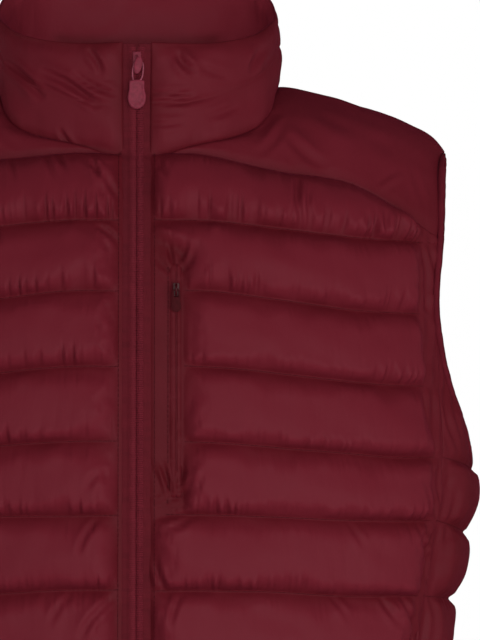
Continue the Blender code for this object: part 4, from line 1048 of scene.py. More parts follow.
def cloth_wall(name, outer, inner, cloth, painted_lightness, material, step=INSIDE_STEP, lining=None):
    """A closed wall between two grids of points, with cloth coordinates as its UV map.

    The lining, where it has its own, is its finish and its painted light and shade.
    """
    rows, columns = outer.shape[:2]
    index = np.arange(rows * columns).reshape(rows, columns)
    faces = grid_faces(index)
    inside = {}

    def inside_index(place):
        return inside.setdefault(place, rows * columns + len(inside))

    for loop in inside_cells(rows, columns, step):
        faces.append([inside_index(place) for place in reversed(loop)])
    border = [(0, c) for c in range(columns)] + [(r, columns - 1) for r in range(1, rows)]
    border += [(rows - 1, c) for c in range(columns - 2, -1, -1)]
    border += [(r, 0) for r in range(rows - 2, 0, -1)]
    for here, there in zip(border, border[1:] + border[:1]):
        faces.append([int(index[here]), inside_index(here), inside_index(there),
                      int(index[there])])
    places = tuple(np.array(list(inside)).T)
    points = np.concatenate([outer.reshape(-1, 3), inner[places]])
    maps = np.concatenate([cloth.reshape(-1, 2), cloth[places]])
    piece = finished(name, points, faces, material, maps)
    # Painted light and shade, kept at each point for the finish to read.
    inside_painted_light = painted_lightness if lining is None else lining[1]
    painted_light = np.concatenate([painted_lightness.ravel(), inside_painted_light[places]]).astype(np.float32)
    piece.data.attributes.new("painted_lightness", "FLOAT", "POINT").data.foreach_set("value", painted_light)
    if lining is not None:
        piece.data.materials.append(lining[0])
        finish = np.zeros(len(faces), np.int32)
        finish[(rows - 1) * (columns - 1):len(faces) - len(border)] = 1
        piece.data.polygons.foreach_set("material_index", finish)
    return piece


def wall_on_form(name, base, hand, lift, lining, cloth, painted_lightness, material):
    """A wall of cloth on the form; also gives its outside and its directions."""
    normals = form_normal(base)
    outer = mirrored(base + normals * lift[..., None], hand)
    inner = mirrored(base - normals * lining[..., None], hand)
    piece = cloth_wall(name, outer, inner, cloth, painted_lightness, material)
    return piece, outer, mirrored(normals, hand)


def row_lines(outer, normals, puffed=None):
    """Stitching lines along the quilting seams, just proud of the cloth, where it is puffed."""
    raised = outer + normals * STITCH_RISE
    rows = range(BAND_STEPS, len(outer) - 1, BAND_STEPS)
    if puffed is None:
        return [raised[row] for row in rows]
    return [raised[row][puffed[row] > STITCHED_FROM] for row in rows]


def column_line(outer, normals, across, place):
    """A stitching line down a piece, at one place of its values across."""
    raised = outer + normals * STITCH_RISE
    return np.array([[np.interp(place, across[row], raised[row, :, axis]) for axis in range(3)]
                     for row in range(len(raised))])


# ---------------------------------------------------------------- quilted pieces

def band_rows(bands):
    """Baffle and share of its depth for every row of a piece with this many baffles."""
    t = np.arange(BAND_STEPS) / BAND_STEPS
    v = mix(t, 0.5 - 0.5 * np.cos(math.pi * t), BAND_CROWDING)
    band = np.append(np.repeat(np.arange(bands), BAND_STEPS), bands - 1)
    return band[:, None], np.append(np.tile(v, bands), 1.0)[:, None]


def quilt_rolls(seed, side):
    """The quilting seams under the first baffle of a piece, each as roll by x."""
    return [lambda x, count=count: roll_at(x, quilt_height(count, x, seed), side)
            for count in range(len(SEAMS))]


def seam_rolls(seams, band, x):
    """Rolls of the seams above and below every row of a piece, at its places across."""
    upper, lower = np.empty(x.shape), np.empty(x.shape)
    for count in range(len(seams) - 1):
        rows = band[:, 0] == count
        upper[rows] = seams[count](x[rows])
        lower[rows] = seams[count + 1](x[rows])
    return upper, lower


def front_cloth(hand, material):
    key = "front_" + word_of(hand)
    seed = SEEDS[key]
    seams = [lambda x: roll_at(x, yoke_seam_height(x, hand))] + quilt_rolls(seed, -1)
    band, v = band_rows(len(SEAMS))
    s = np.linspace(0, 1, FRONT_ACROSS + 1)
    s = mix(s, ease(s), FRONT_CROWDING)[None, :]
    edge = np.full(band.shape, FIRST_EDGE)
    for _ in range(FRONT_ROUNDS):
        x = mix(PLACKET_EDGE, edge, s)
        top, bottom = seam_rolls(seams, band, x)
        roll = mix(top, bottom, v)
        edge = panel_edge_x(on_form(x, roll)[..., 2], -1)
    base = on_form(x, roll)
    z = base[..., 2]
    height = (bottom - top) * SHOULDER_ROUND
    down = roll * SHOULDER_ROUND
    flat, width = side_widths(z)
    from_zip = np.clip(x - placket_flat(hand, z), 0, None)
    beside = groove(np.clip(edge - x - flat, 0, None), width, seed + 63, down, END_STRENGTH)
    fade = groove(from_zip, ZIP_FADE, seed + 60, down, ZIP_STRENGTH) * beside
    above, below = np.array(GATHER_ABOVE)[band], np.array(GATHER_BELOW)[band]
    share = quilt_puff(seed + 70, x + PUFF_SHIFT * band, v, height, above, below) * fade
    puff = BODY_PUFF * share
    detail = baffle_folds((seed + 443, seed + 5, seed), x, band, v, height, down, puff,
                          above, below)
    ends = side_folds(seed, down, edge - x) + ZIP_GATHERS * gathers(seed + 950, down, from_zip)
    detail = detail + ends * between(v, END_RATE)
    detail = detail + FRONT_CREASES * crease_heights(mirrored(base, hand), CREASES[key])
    lift = SEAM_WALL + np.maximum(puff + detail * between(v, KEEP_RATE), FRONT_LOWEST)
    lift = lift - EDGE_DROP * (1 - ease((x - PLACKET_EDGE) / EDGE_ROUND))
    lift = lift - TOP_TUCK * (band == 0) * (1 - ease(v * height / TUCK_DEPTH))
    # Painted shade in the grooves and at the top of each baffle, painted light on the crests.
    painted_lightness = quilt_painted_light(share, v, height, z) + EDGE_PAINTED_LIGHT * (1 - beside)
    piece, outer, normals = wall_on_form(
        key + "_quilt", base, hand, lift, LINING_PUFF * band_puff(v, height) * fade,
        points_of(x, -down), painted_lightness, material)
    beside_zip = column_line(outer, normals, x, PLACKET_EDGE + TOPSTITCH_INSET)
    return piece, row_lines(outer, normals, fade) + [beside_zip]


def back_cloth(material):
    seed = SEEDS["back"]
    neck_turn, tip_angle = shoulder_seam_ends()
    neck_x = collar_base_place(neck_turn)[0]
    tip_x = form_place(armhole_point(np.array(tip_angle)))[0] - SEAM_GAP
    half = BACK_ACROSS // 2
    count = np.arange(-half, half + 1)[None, :]
    right = np.where(count < 0, -1, 1)
    outwards = np.abs(count) / half
    collar_x, collar_roll = collar_base_place(
        mix(180.0, neck_turn, np.clip(outwards / NECK_SHARE, 0, 1)))
    shoulder = np.clip((outwards - NECK_SHARE) / (1 - NECK_SHARE), 0, 1)
    on_neck = outwards <= NECK_SHARE
    top_x = np.where(on_neck, collar_x, mix(neck_x, tip_x, shoulder))
    top_roll = np.where(on_neck, collar_roll, SHOULDER_SEAM_ROLL) + SEAM_LAP / SHOULDER_ROUND
    seams = [lambda x: top_roll, lambda x: roll_at(x, seam_height(BACK_TOP_SEAM, x), 1)]
    seams += quilt_rolls(seed, 1)
    band, v = band_rows(len(seams) - 1)
    first = band == 0
    s = mix(outwards, np.sin(outwards * math.pi / 2), BACK_CROWDING)
    edge = np.full(band.shape, FIRST_EDGE)
    for _ in range(BACK_ROUNDS):
        x = edge * s
        upper, lower = seam_rolls(seams, band, x)
        x = np.where(first, mix(top_x, x, v), x)
        roll = mix(upper, lower, v)
        z = on_form(x, roll)[..., 2]
        edge = panel_edge_x(np.where(first, seam_height(BACK_TOP_SEAM, edge), z), 1)
    base = on_form(x, roll) * points_of(right, 1, 1)
    z = base[..., 2]
    height = np.abs(lower - upper) * SHOULDER_ROUND
    reach = np.where(first, mix(tip_x, edge, v), edge)
    along = x * right
    down = -roll * SHOULDER_ROUND
    flat, width = side_widths(z)
    fade = groove(np.clip(reach - x - flat, 0, None), width, seed + 60, down + right,
                  END_STRENGTH)
    share = quilt_puff(seed + 70, along + PUFF_SHIFT * band, v, height, 1.0, 1.0) * fade
    puff = BODY_PUFF * share
    detail = baffle_folds((seed + 3, seed + 5, seed), along, band, v, height, down, puff,
                          *BACK_GATHERS)
    detail = detail + side_folds(seed, down + right, reach - x) * between(v, END_RATE)
    detail = detail + crease_heights(base, CREASES["back"])
    lift = SEAM_WALL + np.maximum(puff + detail * between(v, KEEP_RATE), LOWEST)
    # Its colour gets painted shade in the grooves and at the top of each baffle.
    piece, outer, normals = wall_on_form(
        "back_quilt", base, 1, lift, LINING_PUFF * band_puff(v, height) * fade,
        points_of(along, -down), quilt_painted_light(share, v, height, z), material)
    return piece, row_lines(outer, normals, fade)


def side_cloth(hand, material):
    key = "side_" + word_of(hand)
    seed = SEEDS[key]
    rows = np.array(SEAMS[ARM_SEAM:])
    band, v = band_rows(len(rows))
    first = band == 0
    across = np.linspace(-1, 1, SIDE_ACROSS + 1)
    across = mix(across, np.sin(across * math.pi / 2), SIDE_CROWDING)[None, :]

    def height_of(seam):
        centre, side_drop, arm_drop = rows[seam[:, 0]].T[:, :, None]
        return centre - side_drop - arm_drop * (1 - across ** 2)

    upper = np.where(first, arm_arc_height(across) - SEAM_GAP, height_of(np.maximum(band - 1, 0)))
    lower = height_of(band)
    lower = np.where(first, np.minimum(lower, upper - LEAST_BAFFLE), lower)
    height = upper - lower
    z = mix(upper, lower, v)
    half = side_seam_depth(z) + SEAM_LAP
    y = across * half
    away = half - np.abs(y)
    down = z + np.sign(y)
    along = y + PUFF_SHIFT * band
    fade = groove(np.clip(away - SIDE_FLAT, 0, None), SIDE_FADE, seed + 60, down, END_STRENGTH)
    drawn = (groove(v * height, SIDE_GROOVE, seed + 75, along)
             * groove((1 - v) * height, SIDE_GROOVE, seed + 73, along))
    share = band_puff(v, height) * fade * drawn * np.where(first, UNDER_ARM_PUFF, 1.0)
    puff = SIDE_SHARE * BODY_PUFF * share
    detail = baffle_folds((seed, seed + 5, seed), y, band, v, height, z, puff)
    ends = side_folds(seed, down, away, SIDE_END_GATHERS)
    detail = (detail + ends * between(v, END_RATE)) * between(v, KEEP_RATE)
    # Its colour gets painted shade, darker than the fronts, where the side panel turns from the
    # light.
    piece, outer, normals = wall_on_form(
        key + "_quilt", points_of(form_x(y, z), y, z), hand,
        SEAM_WALL + np.maximum(puff + detail, LOWEST),
        SIDE_LINING_SHARE * LINING_PUFF * band_puff(v, height) * fade,
        points_of(y, z), SIDE_PAINTED_LIGHT * share + EDGE_PAINTED_LIGHT * (1 - fade), material)
    return piece, row_lines(outer, normals)


def blended(neck, arm, front, back, u, v):
    """Values between those along the four edges of a piece."""
    near, far = mix(neck[0, 0], back[0, 0], v), mix(front[0, -1], back[0, -1], v)
    return mix(neck, arm, u) + mix(front, back, v) - mix(near, far, u)


def yoke_cloth(hand, material):
    """The shoulder piece, blended between its four seams."""
    key = "yoke_" + word_of(hand)
    seed = SEEDS[key]
    neck_turn, tip_angle = shoulder_seam_ends()
    lap = SEAM_LAP / SHOULDER_ROUND
    u_power, v_power = CORNER_POWERS
    tip_roll = float(roll_at(YOKE_TIP_X, YOKE_SEAM[1][1] + YOKE_TIP_RISE))
    tip_turn = COLLAR_BASE[1][0] * YOKE_TIP_X / COLLAR_BASE[1][1]
    reach = (YOKE_SEAM[-1][1] - ARMHOLE_MIDDLE) / ARMHOLE_HALF_HEIGHT
    front_angle = math.acos(reach ** (ARMHOLE_POWER / 2))
    u = np.linspace(0, 1, YOKE_ACROSS + 1)[None, :]
    v = np.linspace(0, 1, YOKE_DOWN + 1)[:, None]

    neck_x, neck_roll = collar_base_place(mix(tip_turn, neck_turn, v))
    neck_x = np.where(v == 0, YOKE_TIP_X, neck_x)
    neck_roll = np.where(v == 0, tip_roll, neck_roll)
    arm_x, arm_roll = form_place(armhole_point(mix(front_angle, tip_angle, v)))
    arm_x = arm_x - SEAM_GAP
    arm_roll = arm_roll + lap * (1 + CORNER_LAP) * (1 - v) ** v_power
    front_x = mix(YOKE_TIP_X, arm_x[0], u)
    front_roll = roll_at(front_x, yoke_seam_height(front_x, hand))
    front_roll = np.where(u == 0, tip_roll, front_roll + lap * (1 + CORNER_LAP * u ** u_power))
    back_x = mix(neck_x[-1], arm_x[-1], u)
    back_roll = np.full(u.shape, SHOULDER_SEAM_ROLL - lap)
    x = blended(neck_x, arm_x, front_x, back_x, u, v)
    roll = blended(neck_roll, arm_roll, front_roll, back_roll, u, v)

    base = on_form(x, roll)
    down = roll * SHOULDER_ROUND
    crest = (16 * u * (1 - u) * v * (1 - v)) ** YOKE_POWER
    detail = YOKE_SWELLS * swells(seed, x, down) * crest
    detail = detail + crease_heights(mirrored(base, hand), CREASES[key]) * np.sqrt(crest)
    for share, shift, along, away in zip(
            YOKE_GATHERS, (0, 5, 9, 12), (x, x, down, down),
            (YOKE_LENGTH * v, YOKE_LENGTH * (1 - v), YOKE_WIDTH * (1 - u), YOKE_WIDTH * u)):
        detail = detail + share * gathers(seed + shift, along, away)
    rim = np.minimum(between(u, YOKE_RATES[0]), between(v, YOKE_RATES[1]))
    lift = SEAM_WALL + np.maximum(YOKE_LOFT * crest + detail * rim, LOWEST)
    lift = lift - TOP_TUCK * (1 - ease(v / YOKE_TUCK_SHARE))
    # Its colour gets painted light on its crest and painted shade at its seams.
    return wall_on_form(key + "_cloth", base, hand, lift, LINING_PUFF * crest,
                        points_of(x, -down), mix(EDGE_PAINTED_LIGHT, YOKE_PAINTED_LIGHT, crest), material)[0]


def collar_point(turn, up):
    """Points of the collar: turn round the neck, and up from its base to its rim."""
    base = on_form(*collar_base_place(turn))
    rim = points_of(*(read_round(COLLAR_RIM, COLLAR_RIM_COLUMNS, turn, name)
                      for name in ("x", "y", "height")))
    return mix(base, rim, np.asarray(up)[..., None])


def collar_normal(turn, up):
    by_turn, by_up = COLLAR_NORMAL_STEPS
    across = collar_point(turn + by_turn, up) - collar_point(turn - by_turn, up)
    rise = (collar_point(turn, np.minimum(up + by_up, 1.0))
            - collar_point(turn, np.maximum(up - by_up, 0.0)))
    return unit(np.cross(across, rise))


def collar_cloth(material, lining):
    seed = SEEDS["collar"]
    first = COLLAR_BASE[1][0] * PLACKET_EDGE / COLLAR_BASE[1][1]
    band, v = band_rows(2)
    lower = band == 0
    turn = np.linspace(first, 360 - first, COLLAR_ROUND + 1)[None, :]
    middle = read_round(COLLAR_RIM, COLLAR_RIM_COLUMNS, turn, "middle_seam")
    up = np.where(lower, mix(0.0, middle, v), mix(middle, 1.0, v))
    turn = np.broadcast_to(turn, up.shape)
    foot, top = collar_point(turn, 0 * up), collar_point(turn, 0 * up + 1)
    point = collar_point(turn, up)
    point = point - unit(top - foot) * (2 * SEAM_GAP * (1 - up))[..., None]
    normals = collar_normal(turn, up)
    tall = np.linalg.norm(top - foot, axis=-1)
    height = np.where(lower, middle, 1 - middle) * tall
    rise = up * tall
    around = np.radians(turn) * COLLAR_RADIUS
    from_end = COLLAR_END * np.minimum(turn - first, 360 - first - turn) / COLLAR_BASE[1][0]
    from_edge = np.where(lower, v, 1 - v) * height
    from_seam = np.where(lower, 1 - v, v) * height

    edge_width, seam_width, end_width = COLLAR_GROOVES
    seam_puff = groove(from_seam, seam_width, seed + 73, around, COLLAR_STRENGTH)
    crest = (groove(from_edge, edge_width, seed + 70, around, COLLAR_STRENGTH)
             * mix(MIDDLE_SEAM_PUFF, 1.0, seam_puff))
    fade = groove(from_end, end_width, seed + 76, rise, END_STRENGTH)
    keep = between(v, COLLAR_KEEP_RATE)
    detail = COLLAR_SWELLS * swells(seed, around, rise)
    for share, shift, along, away in zip(COLLAR_GATHERS, (0, 5, 9), (around, around, rise),
                                         (from_edge, from_seam, from_end)):
        detail = detail + share * gathers(seed + shift, along, away)
    creases = np.where(point[..., 1] < 0, crease_heights(point, CREASES["collar"]),
                       crease_heights(point, CREASES["collar_back"]))
    lift = (COLLAR_SHARE * COLLAR_PUFF * crest * fade
            + detail * keep * np.clip(EDGE_DETAIL + fade, 0, 1) + COLLAR_CREASES * creases * keep)
    outer = point + normals * np.maximum(lift, COLLAR_LOWEST)[..., None]

    inside = (gathers(seed + 31, around, (1 - v) * height) + gathers(seed + 35, around, v * height)
              + LINING_SWELLS * swells(seed + 30, around, rise))
    sunk = np.maximum((COLLAR_LINING_PUFF * crest + inside * keep) * fade, LINING_LOWEST)
    inner = point - normals * (SEAM_WALL + sunk)[..., None]
    # Painted shadow low in the middle of the lining, where the collar's front shades it; painted
    # light above and at the sides.
    low, high = PAINTED_LINING_HEIGHTS
    near, far = PAINTED_LINING_WIDTHS
    lining_painted_light = np.maximum(ease((inner[..., 2] - low) / (high - low)),
                     PAINTED_LINING_SIDES * ease((np.abs(inner[..., 0]) - near) / (far - near)))
    # The outside gets painted light on its crests and painted shade in its grooves.
    return cloth_wall("collar_quilt", outer, inner, points_of(around, rise),
                      COLLAR_PAINTED_LIGHT * crest * fade, material, COLLAR_INSIDE_STEP, (lining, lining_painted_light))


# ---------------------------------------------------------------- bound edges and strips

def rounded_ring(corners, steps):
    """A smooth closed ring through the corners of a section."""
    corners = np.array(corners)
    place = np.arange(len(corners) * steps) / steps
    low = np.floor(place).astype(int)
    t = (place - low)[:, None]
    before, start, end, after = (corners[(low + shift) % len(corners)] for shift in (-1, 0, 1, 2))
    return 0.5 * (2 * start + (end - before) * t
                  + (2 * before - 5 * start + 4 * end - after) * t ** 2
                  + (3 * start - before - 3 * end + after) * t ** 3)


def running_length(points):
    return np.append(0.0, np.cumsum(np.linalg.norm(np.diff(points, axis=0), axis=-1)))


def ends_of(along, blend):
    """0 at both ends of a line, 1 between them."""
    return ease(np.minimum(along - along[0], along[-1] - along) / blend)


def band_piece(name, rings, closed, material):
    """A band through matching rings of points, closed on itself or with flat ends."""
    stations, around = rings.shape[:2]
    index = np.arange(stations * around).reshape(stations, around)
    following = np.roll(index, -1, axis=0)
    here, there = (index, following) if closed else (index[:-1], following[:-1])
    corners = (here, np.roll(here, -1, axis=1), np.roll(there, -1, axis=1), there)
    faces = np.stack(corners, axis=-1).reshape(-1, 4).tolist()
    if not closed:
        faces += [index[0].tolist(), index[-1].tolist()]
    maps = points_of(running_length(rings[:, 0])[:, None],
                     np.linspace(0, STRIP_WIDTH, around)[None, :])
    return finished(name, rings.reshape(-1, 3), faces, material, maps.reshape(-1, 2))


def binding_rings(points, away, normals, seed, raised=0.0, depth_left=1.0):
    """The section of a binding at each point of the edge that it covers."""
    across, over = rounded_ring(BINDING_SHAPE, BINDING_ROUNDING).T
    along = running_length(points)
    gather = sum(share * waves(seed + count, along, spacing)
                 for count, (spacing, share) in enumerate(BINDING_GATHERS))
    gather = (BINDING_GATHER * gather * ends_of(along, BINDING_CALM))[:, None]
    raised, depth_left = np.reshape(raised, (-1, 1)), np.reshape(depth_left, (-1, 1))
    out = BINDING_DEPTH * across * depth_left + GATHER_OUT * gather * (across > BINDING_OUTER)
    up = BINDING_THICKNESS * over + GATHER_UP * gather * np.clip(over, 0, 1)
    start = points - away * BINDING_OVERLAP + normals * raised
    return start[:, None] + away[:, None] * out[..., None] + normals[:, None] * up[..., None]


def binding_line(points, away, normals, raised=0.0, depth_left=1.0):
    """The stitching along a binding."""
    inset, height = BINDING_STITCH
    up = np.reshape(height * BINDING_THICKNESS + raised, (-1, 1))
    return points + away * inset * np.reshape(depth_left, (-1, 1)) + normals * up


def armhole_binding(hand, material):
    angle = np.linspace(0, 2 * math.pi, ARMHOLE_STEPS, endpoint=False)
    point = armhole_point(angle)
    normals = form_normal(point)
    along = unit(armhole_point(angle + ANGLE_STEP) - armhole_point(angle - ANGLE_STEP))
    away = unit(np.cross(along, normals))
    middle = points_of(point[:, 0], 0.0, ARMHOLE_MIDDLE)
    turned = np.sum(away * (middle - point), axis=-1) < 0
    away = np.where(turned[:, None], -away, away)
    from_tip = np.minimum(angle, 2 * math.pi - angle)
    share = mix(TIP_SHARE, 1.0, ease((from_tip - TIP_START) / TIP_BLEND))
    raised = (ARMHOLE_RAISE * share
              + FRONT_BULGE * np.exp(-((angle - BULGE_ANGLE) / BULGE_WIDTH) ** 2)
              - TIP_SINK * np.exp(-(from_tip / TIP_WIDTH) ** 2))
    name = "armhole_binding_" + word_of(hand)
    rings = binding_rings(point, away, normals, SEEDS[name], raised, share)
    line = binding_line(point, away, normals, raised, share)
    line = np.concatenate([line, line[:1]])
    return band_piece(name + "_cloth", mirrored(rings, hand), True, material), mirrored(line, hand)


def hem_point(angle):
    """Points of the hem; angle 0 is its front."""
    power = 2 / OVAL_POWER
    half_width, depth = oval(HEM_HEIGHT, -np.cos(angle))
    return points_of(half_width * signed_power(np.sin(angle), power),
                     -depth * signed_power(np.cos(angle), power), HEM_HEIGHT)


def hem_binding(material):
    half_width = float(oval(HEM_HEIGHT, -1)[0])
    start = math.asin((PLACKET_EDGE / half_width) ** (OVAL_POWER / 2))
    point = hem_point(np.linspace(start, 2 * math.pi - start, HEM_STEPS))
    normals = unit(form_normal(point) * (1, 1, 0))
    down = np.broadcast_to(np.array((0.0, 0.0, -1.0)), point.shape)
    rings = binding_rings(point, down, normals, SEEDS["hem_binding"])
    return (band_piece("hem_binding_cloth", rings, False, material),
            binding_line(point, down, normals))


def zip_line(z):
    """Depth of the cloth's middle layer beside the zip at a height."""
    foot = collar_point(np.array(0.0), np.array(0.0))[2]
    on_collar = ease((z - foot) / COLLAR_BEND + 0.5)
    body = -form_depth(0.0, np.minimum(z, foot), -1) - SEAM_WALL / 2
    up = np.maximum(z - foot, 0) / (COLLAR_RIM[0][3] - foot)
    top = collar_point(np.zeros(np.shape(z)), up)[..., 1] + SEAM_WALL / 2
    return mix(body, top, on_collar)


def zip_heights(low, high, count):
    t = np.linspace(0, 1, count)
    return mix(low, high, mix(t, np.sin(t * math.pi / 2), ZIP_CROWDING))


def parting(z):
    """How far the two halves of the zip stand apart at a height."""
    return PARTED * ease((z - SLIDER_HEIGHT) / (ZIP_TOP - SLIDER_HEIGHT))


def zip_tape(hand, material):
    """Half of the zip's tape, raised over its coil beside the middle."""
    z = zip_heights(HEM_HEIGHT, ZIP_TOP, TAPE_STEPS)[:, None]
    across, depth = np.array(TAPE_SECTION).T * MM
    rings = points_of(across + parting(z) * (across < TAPE_CREST), zip_line(z) + depth, z)
    name = f"zip_tape_{word_of(hand)}_cloth"
    return band_piece(name, mirrored(rings, hand), False, material)


def coil_lines():
    """The middle lines of the zip's two rows of ribs."""
    z = zip_heights(HEM_HEIGHT + COIL_FOOT, ZIP_TOP - COIL_HEAD, COIL_STEPS)
    x = COIL_GAP + COIL_LENGTH / 2 + parting(z)
    return [points_of(hand * x, zip_line(z) - rise, z)
            for hand, rise in zip((1, -1), COIL_RISES)]


def pocket_band(name, section, across, seed, material):
    """A narrow strip along the pocket zip: its section, and its offset and width."""
    z = np.linspace(POCKET_BOTTOM - POCKET_PAST, POCKET_TOP + POCKET_PAST, POCKET_STEPS)
    offset, width = across
    sideways, over = rounded_ring(section, POCKET_ROUNDING).T
    gather = sum(size * waves(seed + count, z, spacing)
                 for count, (spacing, size) in enumerate(POCKET_WAVES))
    low = mix(POCKET_SINK, SEAM_WALL, ends_of(z, POCKET_ENDS))
    up = low[:, None] + POCKET_RISE * over + gather[:, None] * np.clip(over, 0, 1)
    x, z = np.broadcast_arrays(POCKET_X + offset + width * sideways, z[:, None])
    return band_piece(name, lifted(x, z, up), False, material)


def pocket_line():
    """A line of topstitching beside the pocket zip."""
    z = np.linspace(POCKET_BOTTOM - POCKET_STITCH_PAST, POCKET_TOP + POCKET_STITCH_PAST,
                    POCKET_LINE_STEPS)
    return lifted(np.full(z.shape, POCKET_X + POCKET_STITCH_X), z, SEAM_WALL + POCKET_STITCH_RISE)


# ---------------------------------------------------------------- hard pieces

def softened(name, node, material):
    """The plain hard piece again, with its edges rounded."""
    mesh = bmesh.new()
    mesh.from_mesh(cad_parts[node].data)
    bmesh.ops.remove_doubles(mesh, verts=mesh.verts, dist=SAME_POINT)
    bmesh.ops.dissolve_limit(mesh, angle_limit=math.radians(FLAT_ANGLE), verts=mesh.verts,
                             edges=mesh.edges)
    sharp = [edge for edge in mesh.edges if len(edge.link_faces) == 2
             and edge.calc_face_angle(0.0) > math.radians(SHARP_ANGLE)]
    bmesh.ops.bevel(mesh, geom=sharp, offset=SOFT_EDGES[node], segments=2, profile=0.6,
                    affect="EDGES", clamp_overlap=True)
    bmesh.ops.triangulate(mesh, faces=[face for face in mesh.faces if len(face.verts) > 4])
    data = bpy.data.meshes.new(name)
    mesh.to_mesh(data)
    mesh.free()
    data.materials.clear()
    data.materials.append(material)
    data.shade_smooth()
    return linked(name, data)


def pull_loop(name, material):
    """The bent wire that joins the slider's bail to the tab."""
    steps, sides = LOOP_STEPS
    angle = np.linspace(0, 2 * math.pi, steps, endpoint=False)
    half_width, half_length = PULL_LOOP[0] / 2 - PULL_WIRE, PULL_LOOP[1] / 2
    x = half_width * signed_power(np.cos(angle), LOOP_POWER)
    z = half_length * signed_power(np.sin(angle), LOOP_POWER) - half_length
    x = x + LOOP_LEAN * (1 + z / (2 * half_length))
    path = points_of(x, 0.0, z) + np.array(PULL_HINGE)
    along = unit(np.roll(path, -1, axis=0) - np.roll(path, 1, axis=0))
    side = np.broadcast_to(np.array((0.0, 1.0, 0.0)), along.shape)
    up = np.cross(along, side)
    turn = np.linspace(0, 2 * math.pi, sides, endpoint=False)[None, :, None]
    rings = path[:, None] + PULL_WIRE * (np.cos(turn) * side[:, None] + np.sin(turn) * up[:, None])
    return band_piece(name, rings, True, material)


def slider_cover(name, material):
    """The domed oval cover in front of the slider's bail, leaning a little."""
    sides, steps = COVER_STEPS
    half_width, half_depth, half_height = COVER_HALVES
    lean = math.radians(COVER_LEAN)
    around = np.linspace(0, 2 * math.pi, sides, endpoint=False)
    turn = (np.linspace(-COVER_END, COVER_END, steps) * math.pi / 2)[:, None]
    wide = np.cos(turn) ** COVER_POWER
    x, z = half_width * wide * np.cos(around), half_height * wide * np.sin(around)
    rings = points_of(x * math.cos(lean) + z * math.sin(lean), half_depth * np.sin(turn),
                      z * math.cos(lean) - x * math.sin(lean))
    return band_piece(name, rings + np.array(PULL_HINGE) + np.array(COVER_PLACE), False, material)


def pull_tab(name, material):
    """A moulded tab: rounded edges and a shallow hollow in each face."""
    z, half = np.array(TAB_OUTLINE).T
    fine = np.linspace(z[0], z[-1], TAB_STEPS)
    half = np.interp(fine, z, half)
    edge = np.concatenate([points_of(half, fine), points_of(-half[::-1], fine[::-1])])
    centre = edge.mean(axis=0)
    rings = []
    for share, depth in TAB_FACE:
        ring = centre + (edge - centre) * share
        rings.append(points_of(ring[:, 0], TAB_THICKNESS * depth, ring[:, 1]))
    return band_piece(name, np.array(rings) * MM + np.array(PULL_HINGE), False, material)


# ---------------------------------------------------------------- what repeats

ROW_INPUTS = (("Spacing", "Float"), ("Bar length", "Float"), ("Bar radius", "Float"),
              ("Sides", "Int"), ("Finish", "Material"))
ROW_NODES = {
    "start": "NodeGroupInput", "curve": "GeometryNodeMeshToCurve",
    "spaced": "GeometryNodeResampleCurve", "bar": "GeometryNodeMeshCylinder",
    "placed": "GeometryNodeInstanceOnPoints", "real": "GeometryNodeRealizeInstances",
    "smooth": "GeometryNodeSetShadeSmooth", "dressed": "GeometryNodeSetMaterial",
    "end": "NodeGroupOutput",
}
TURN_NODES = {"tangent": "GeometryNodeInputTangent",
              "turned": "FunctionNodeAlignRotationToVector"}
# From a node and its output to a node and its input.
ROW_LINKS = (
    ("start", "Geometry", "curve", "Mesh"), ("curve", "Curve", "spaced", "Curve"),
    ("start", "Spacing", "spaced", "Length"), ("spaced", "Curve", "placed", "Points"),
    ("start", "Sides", "bar", "Vertices"), ("start", "Bar radius", "bar", "Radius"),
    ("start", "Bar length", "bar", "Depth"), ("bar", "Mesh", "placed", "Instance"),
    ("placed", "Instances", "real", "Geometry"), ("real", "Geometry", "smooth", "Geometry"),
    ("smooth", "Geometry", "dressed", "Geometry"), ("start", "Finish", "dressed", "Material"),
    ("dressed", "Geometry", "end", "Geometry"),
)
TURN_LINKS = (("tangent", "Tangent", "turned", "Vector"),
              ("turned", "Rotation", "placed", "Rotation"))


def row_tree(name, lie_along):
    """Short rounded bars spaced along a line: stitches along it, or ribs across it."""
    tree = bpy.data.node_groups.new(name, "GeometryNodeTree")
    tree.interface.new_socket("Geometry", in_out="INPUT", socket_type="NodeSocketGeometry")
    for label, kind in ROW_INPUTS:
        tree.interface.new_socket(label, in_out="INPUT", socket_type="NodeSocket" + kind)
    tree.interface.new_socket("Geometry", in_out="OUTPUT", socket_type="NodeSocketGeometry")
    kinds = {**ROW_NODES, **TURN_NODES} if lie_along else ROW_NODES
    nodes = {label: tree.nodes.new(kind) for label, kind in kinds.items()}
    nodes["spaced"].mode = "LENGTH"
    nodes["bar"].fill_type = "NGON"
    if lie_along:
        nodes["turned"].axis = "Z"
    else:
        nodes["placed"].inputs["Rotation"].default_value = (0, math.pi / 2, 0)
    for source, output, target, place in ROW_LINKS + (TURN_LINKS if lie_along else ()):
        tree.links.new(nodes[source].outputs[output], nodes[target].inputs[place])
    return tree


def grown(name, tree, lines, settings):
    """A plain mesh object of what a tree grows along some lines."""
    points, edges = [], []
    for line in lines:
        first = len(points)
        points += [tuple(map(float, point)) for point in line]
        edges += [(first + count, first + count + 1) for count in range(len(line) - 1)]
    carrier_mesh = bpy.data.meshes.new(name + "_lines")
    carrier_mesh.from_pydata(points, edges, [])
    carrier = linked(name + "_lines", carrier_mesh)
    modifier = carrier.modifiers.new("rows", "NODES")
    modifier.node_group = tree
    for item in tree.interface.items_tree:
        if item.in_out == "INPUT" and item.name in settings:
            modifier[item.identifier] = settings[item.name]
    bpy.context.view_layer.update()
    graph = bpy.context.evaluated_depsgraph_get()
    data = bpy.data.meshes.new_from_object(carrier.evaluated_get(graph), depsgraph=graph)
    bpy.data.objects.remove(carrier)
    bpy.data.meshes.remove(carrier_mesh)
    data.name = name
    return linked(name, data)


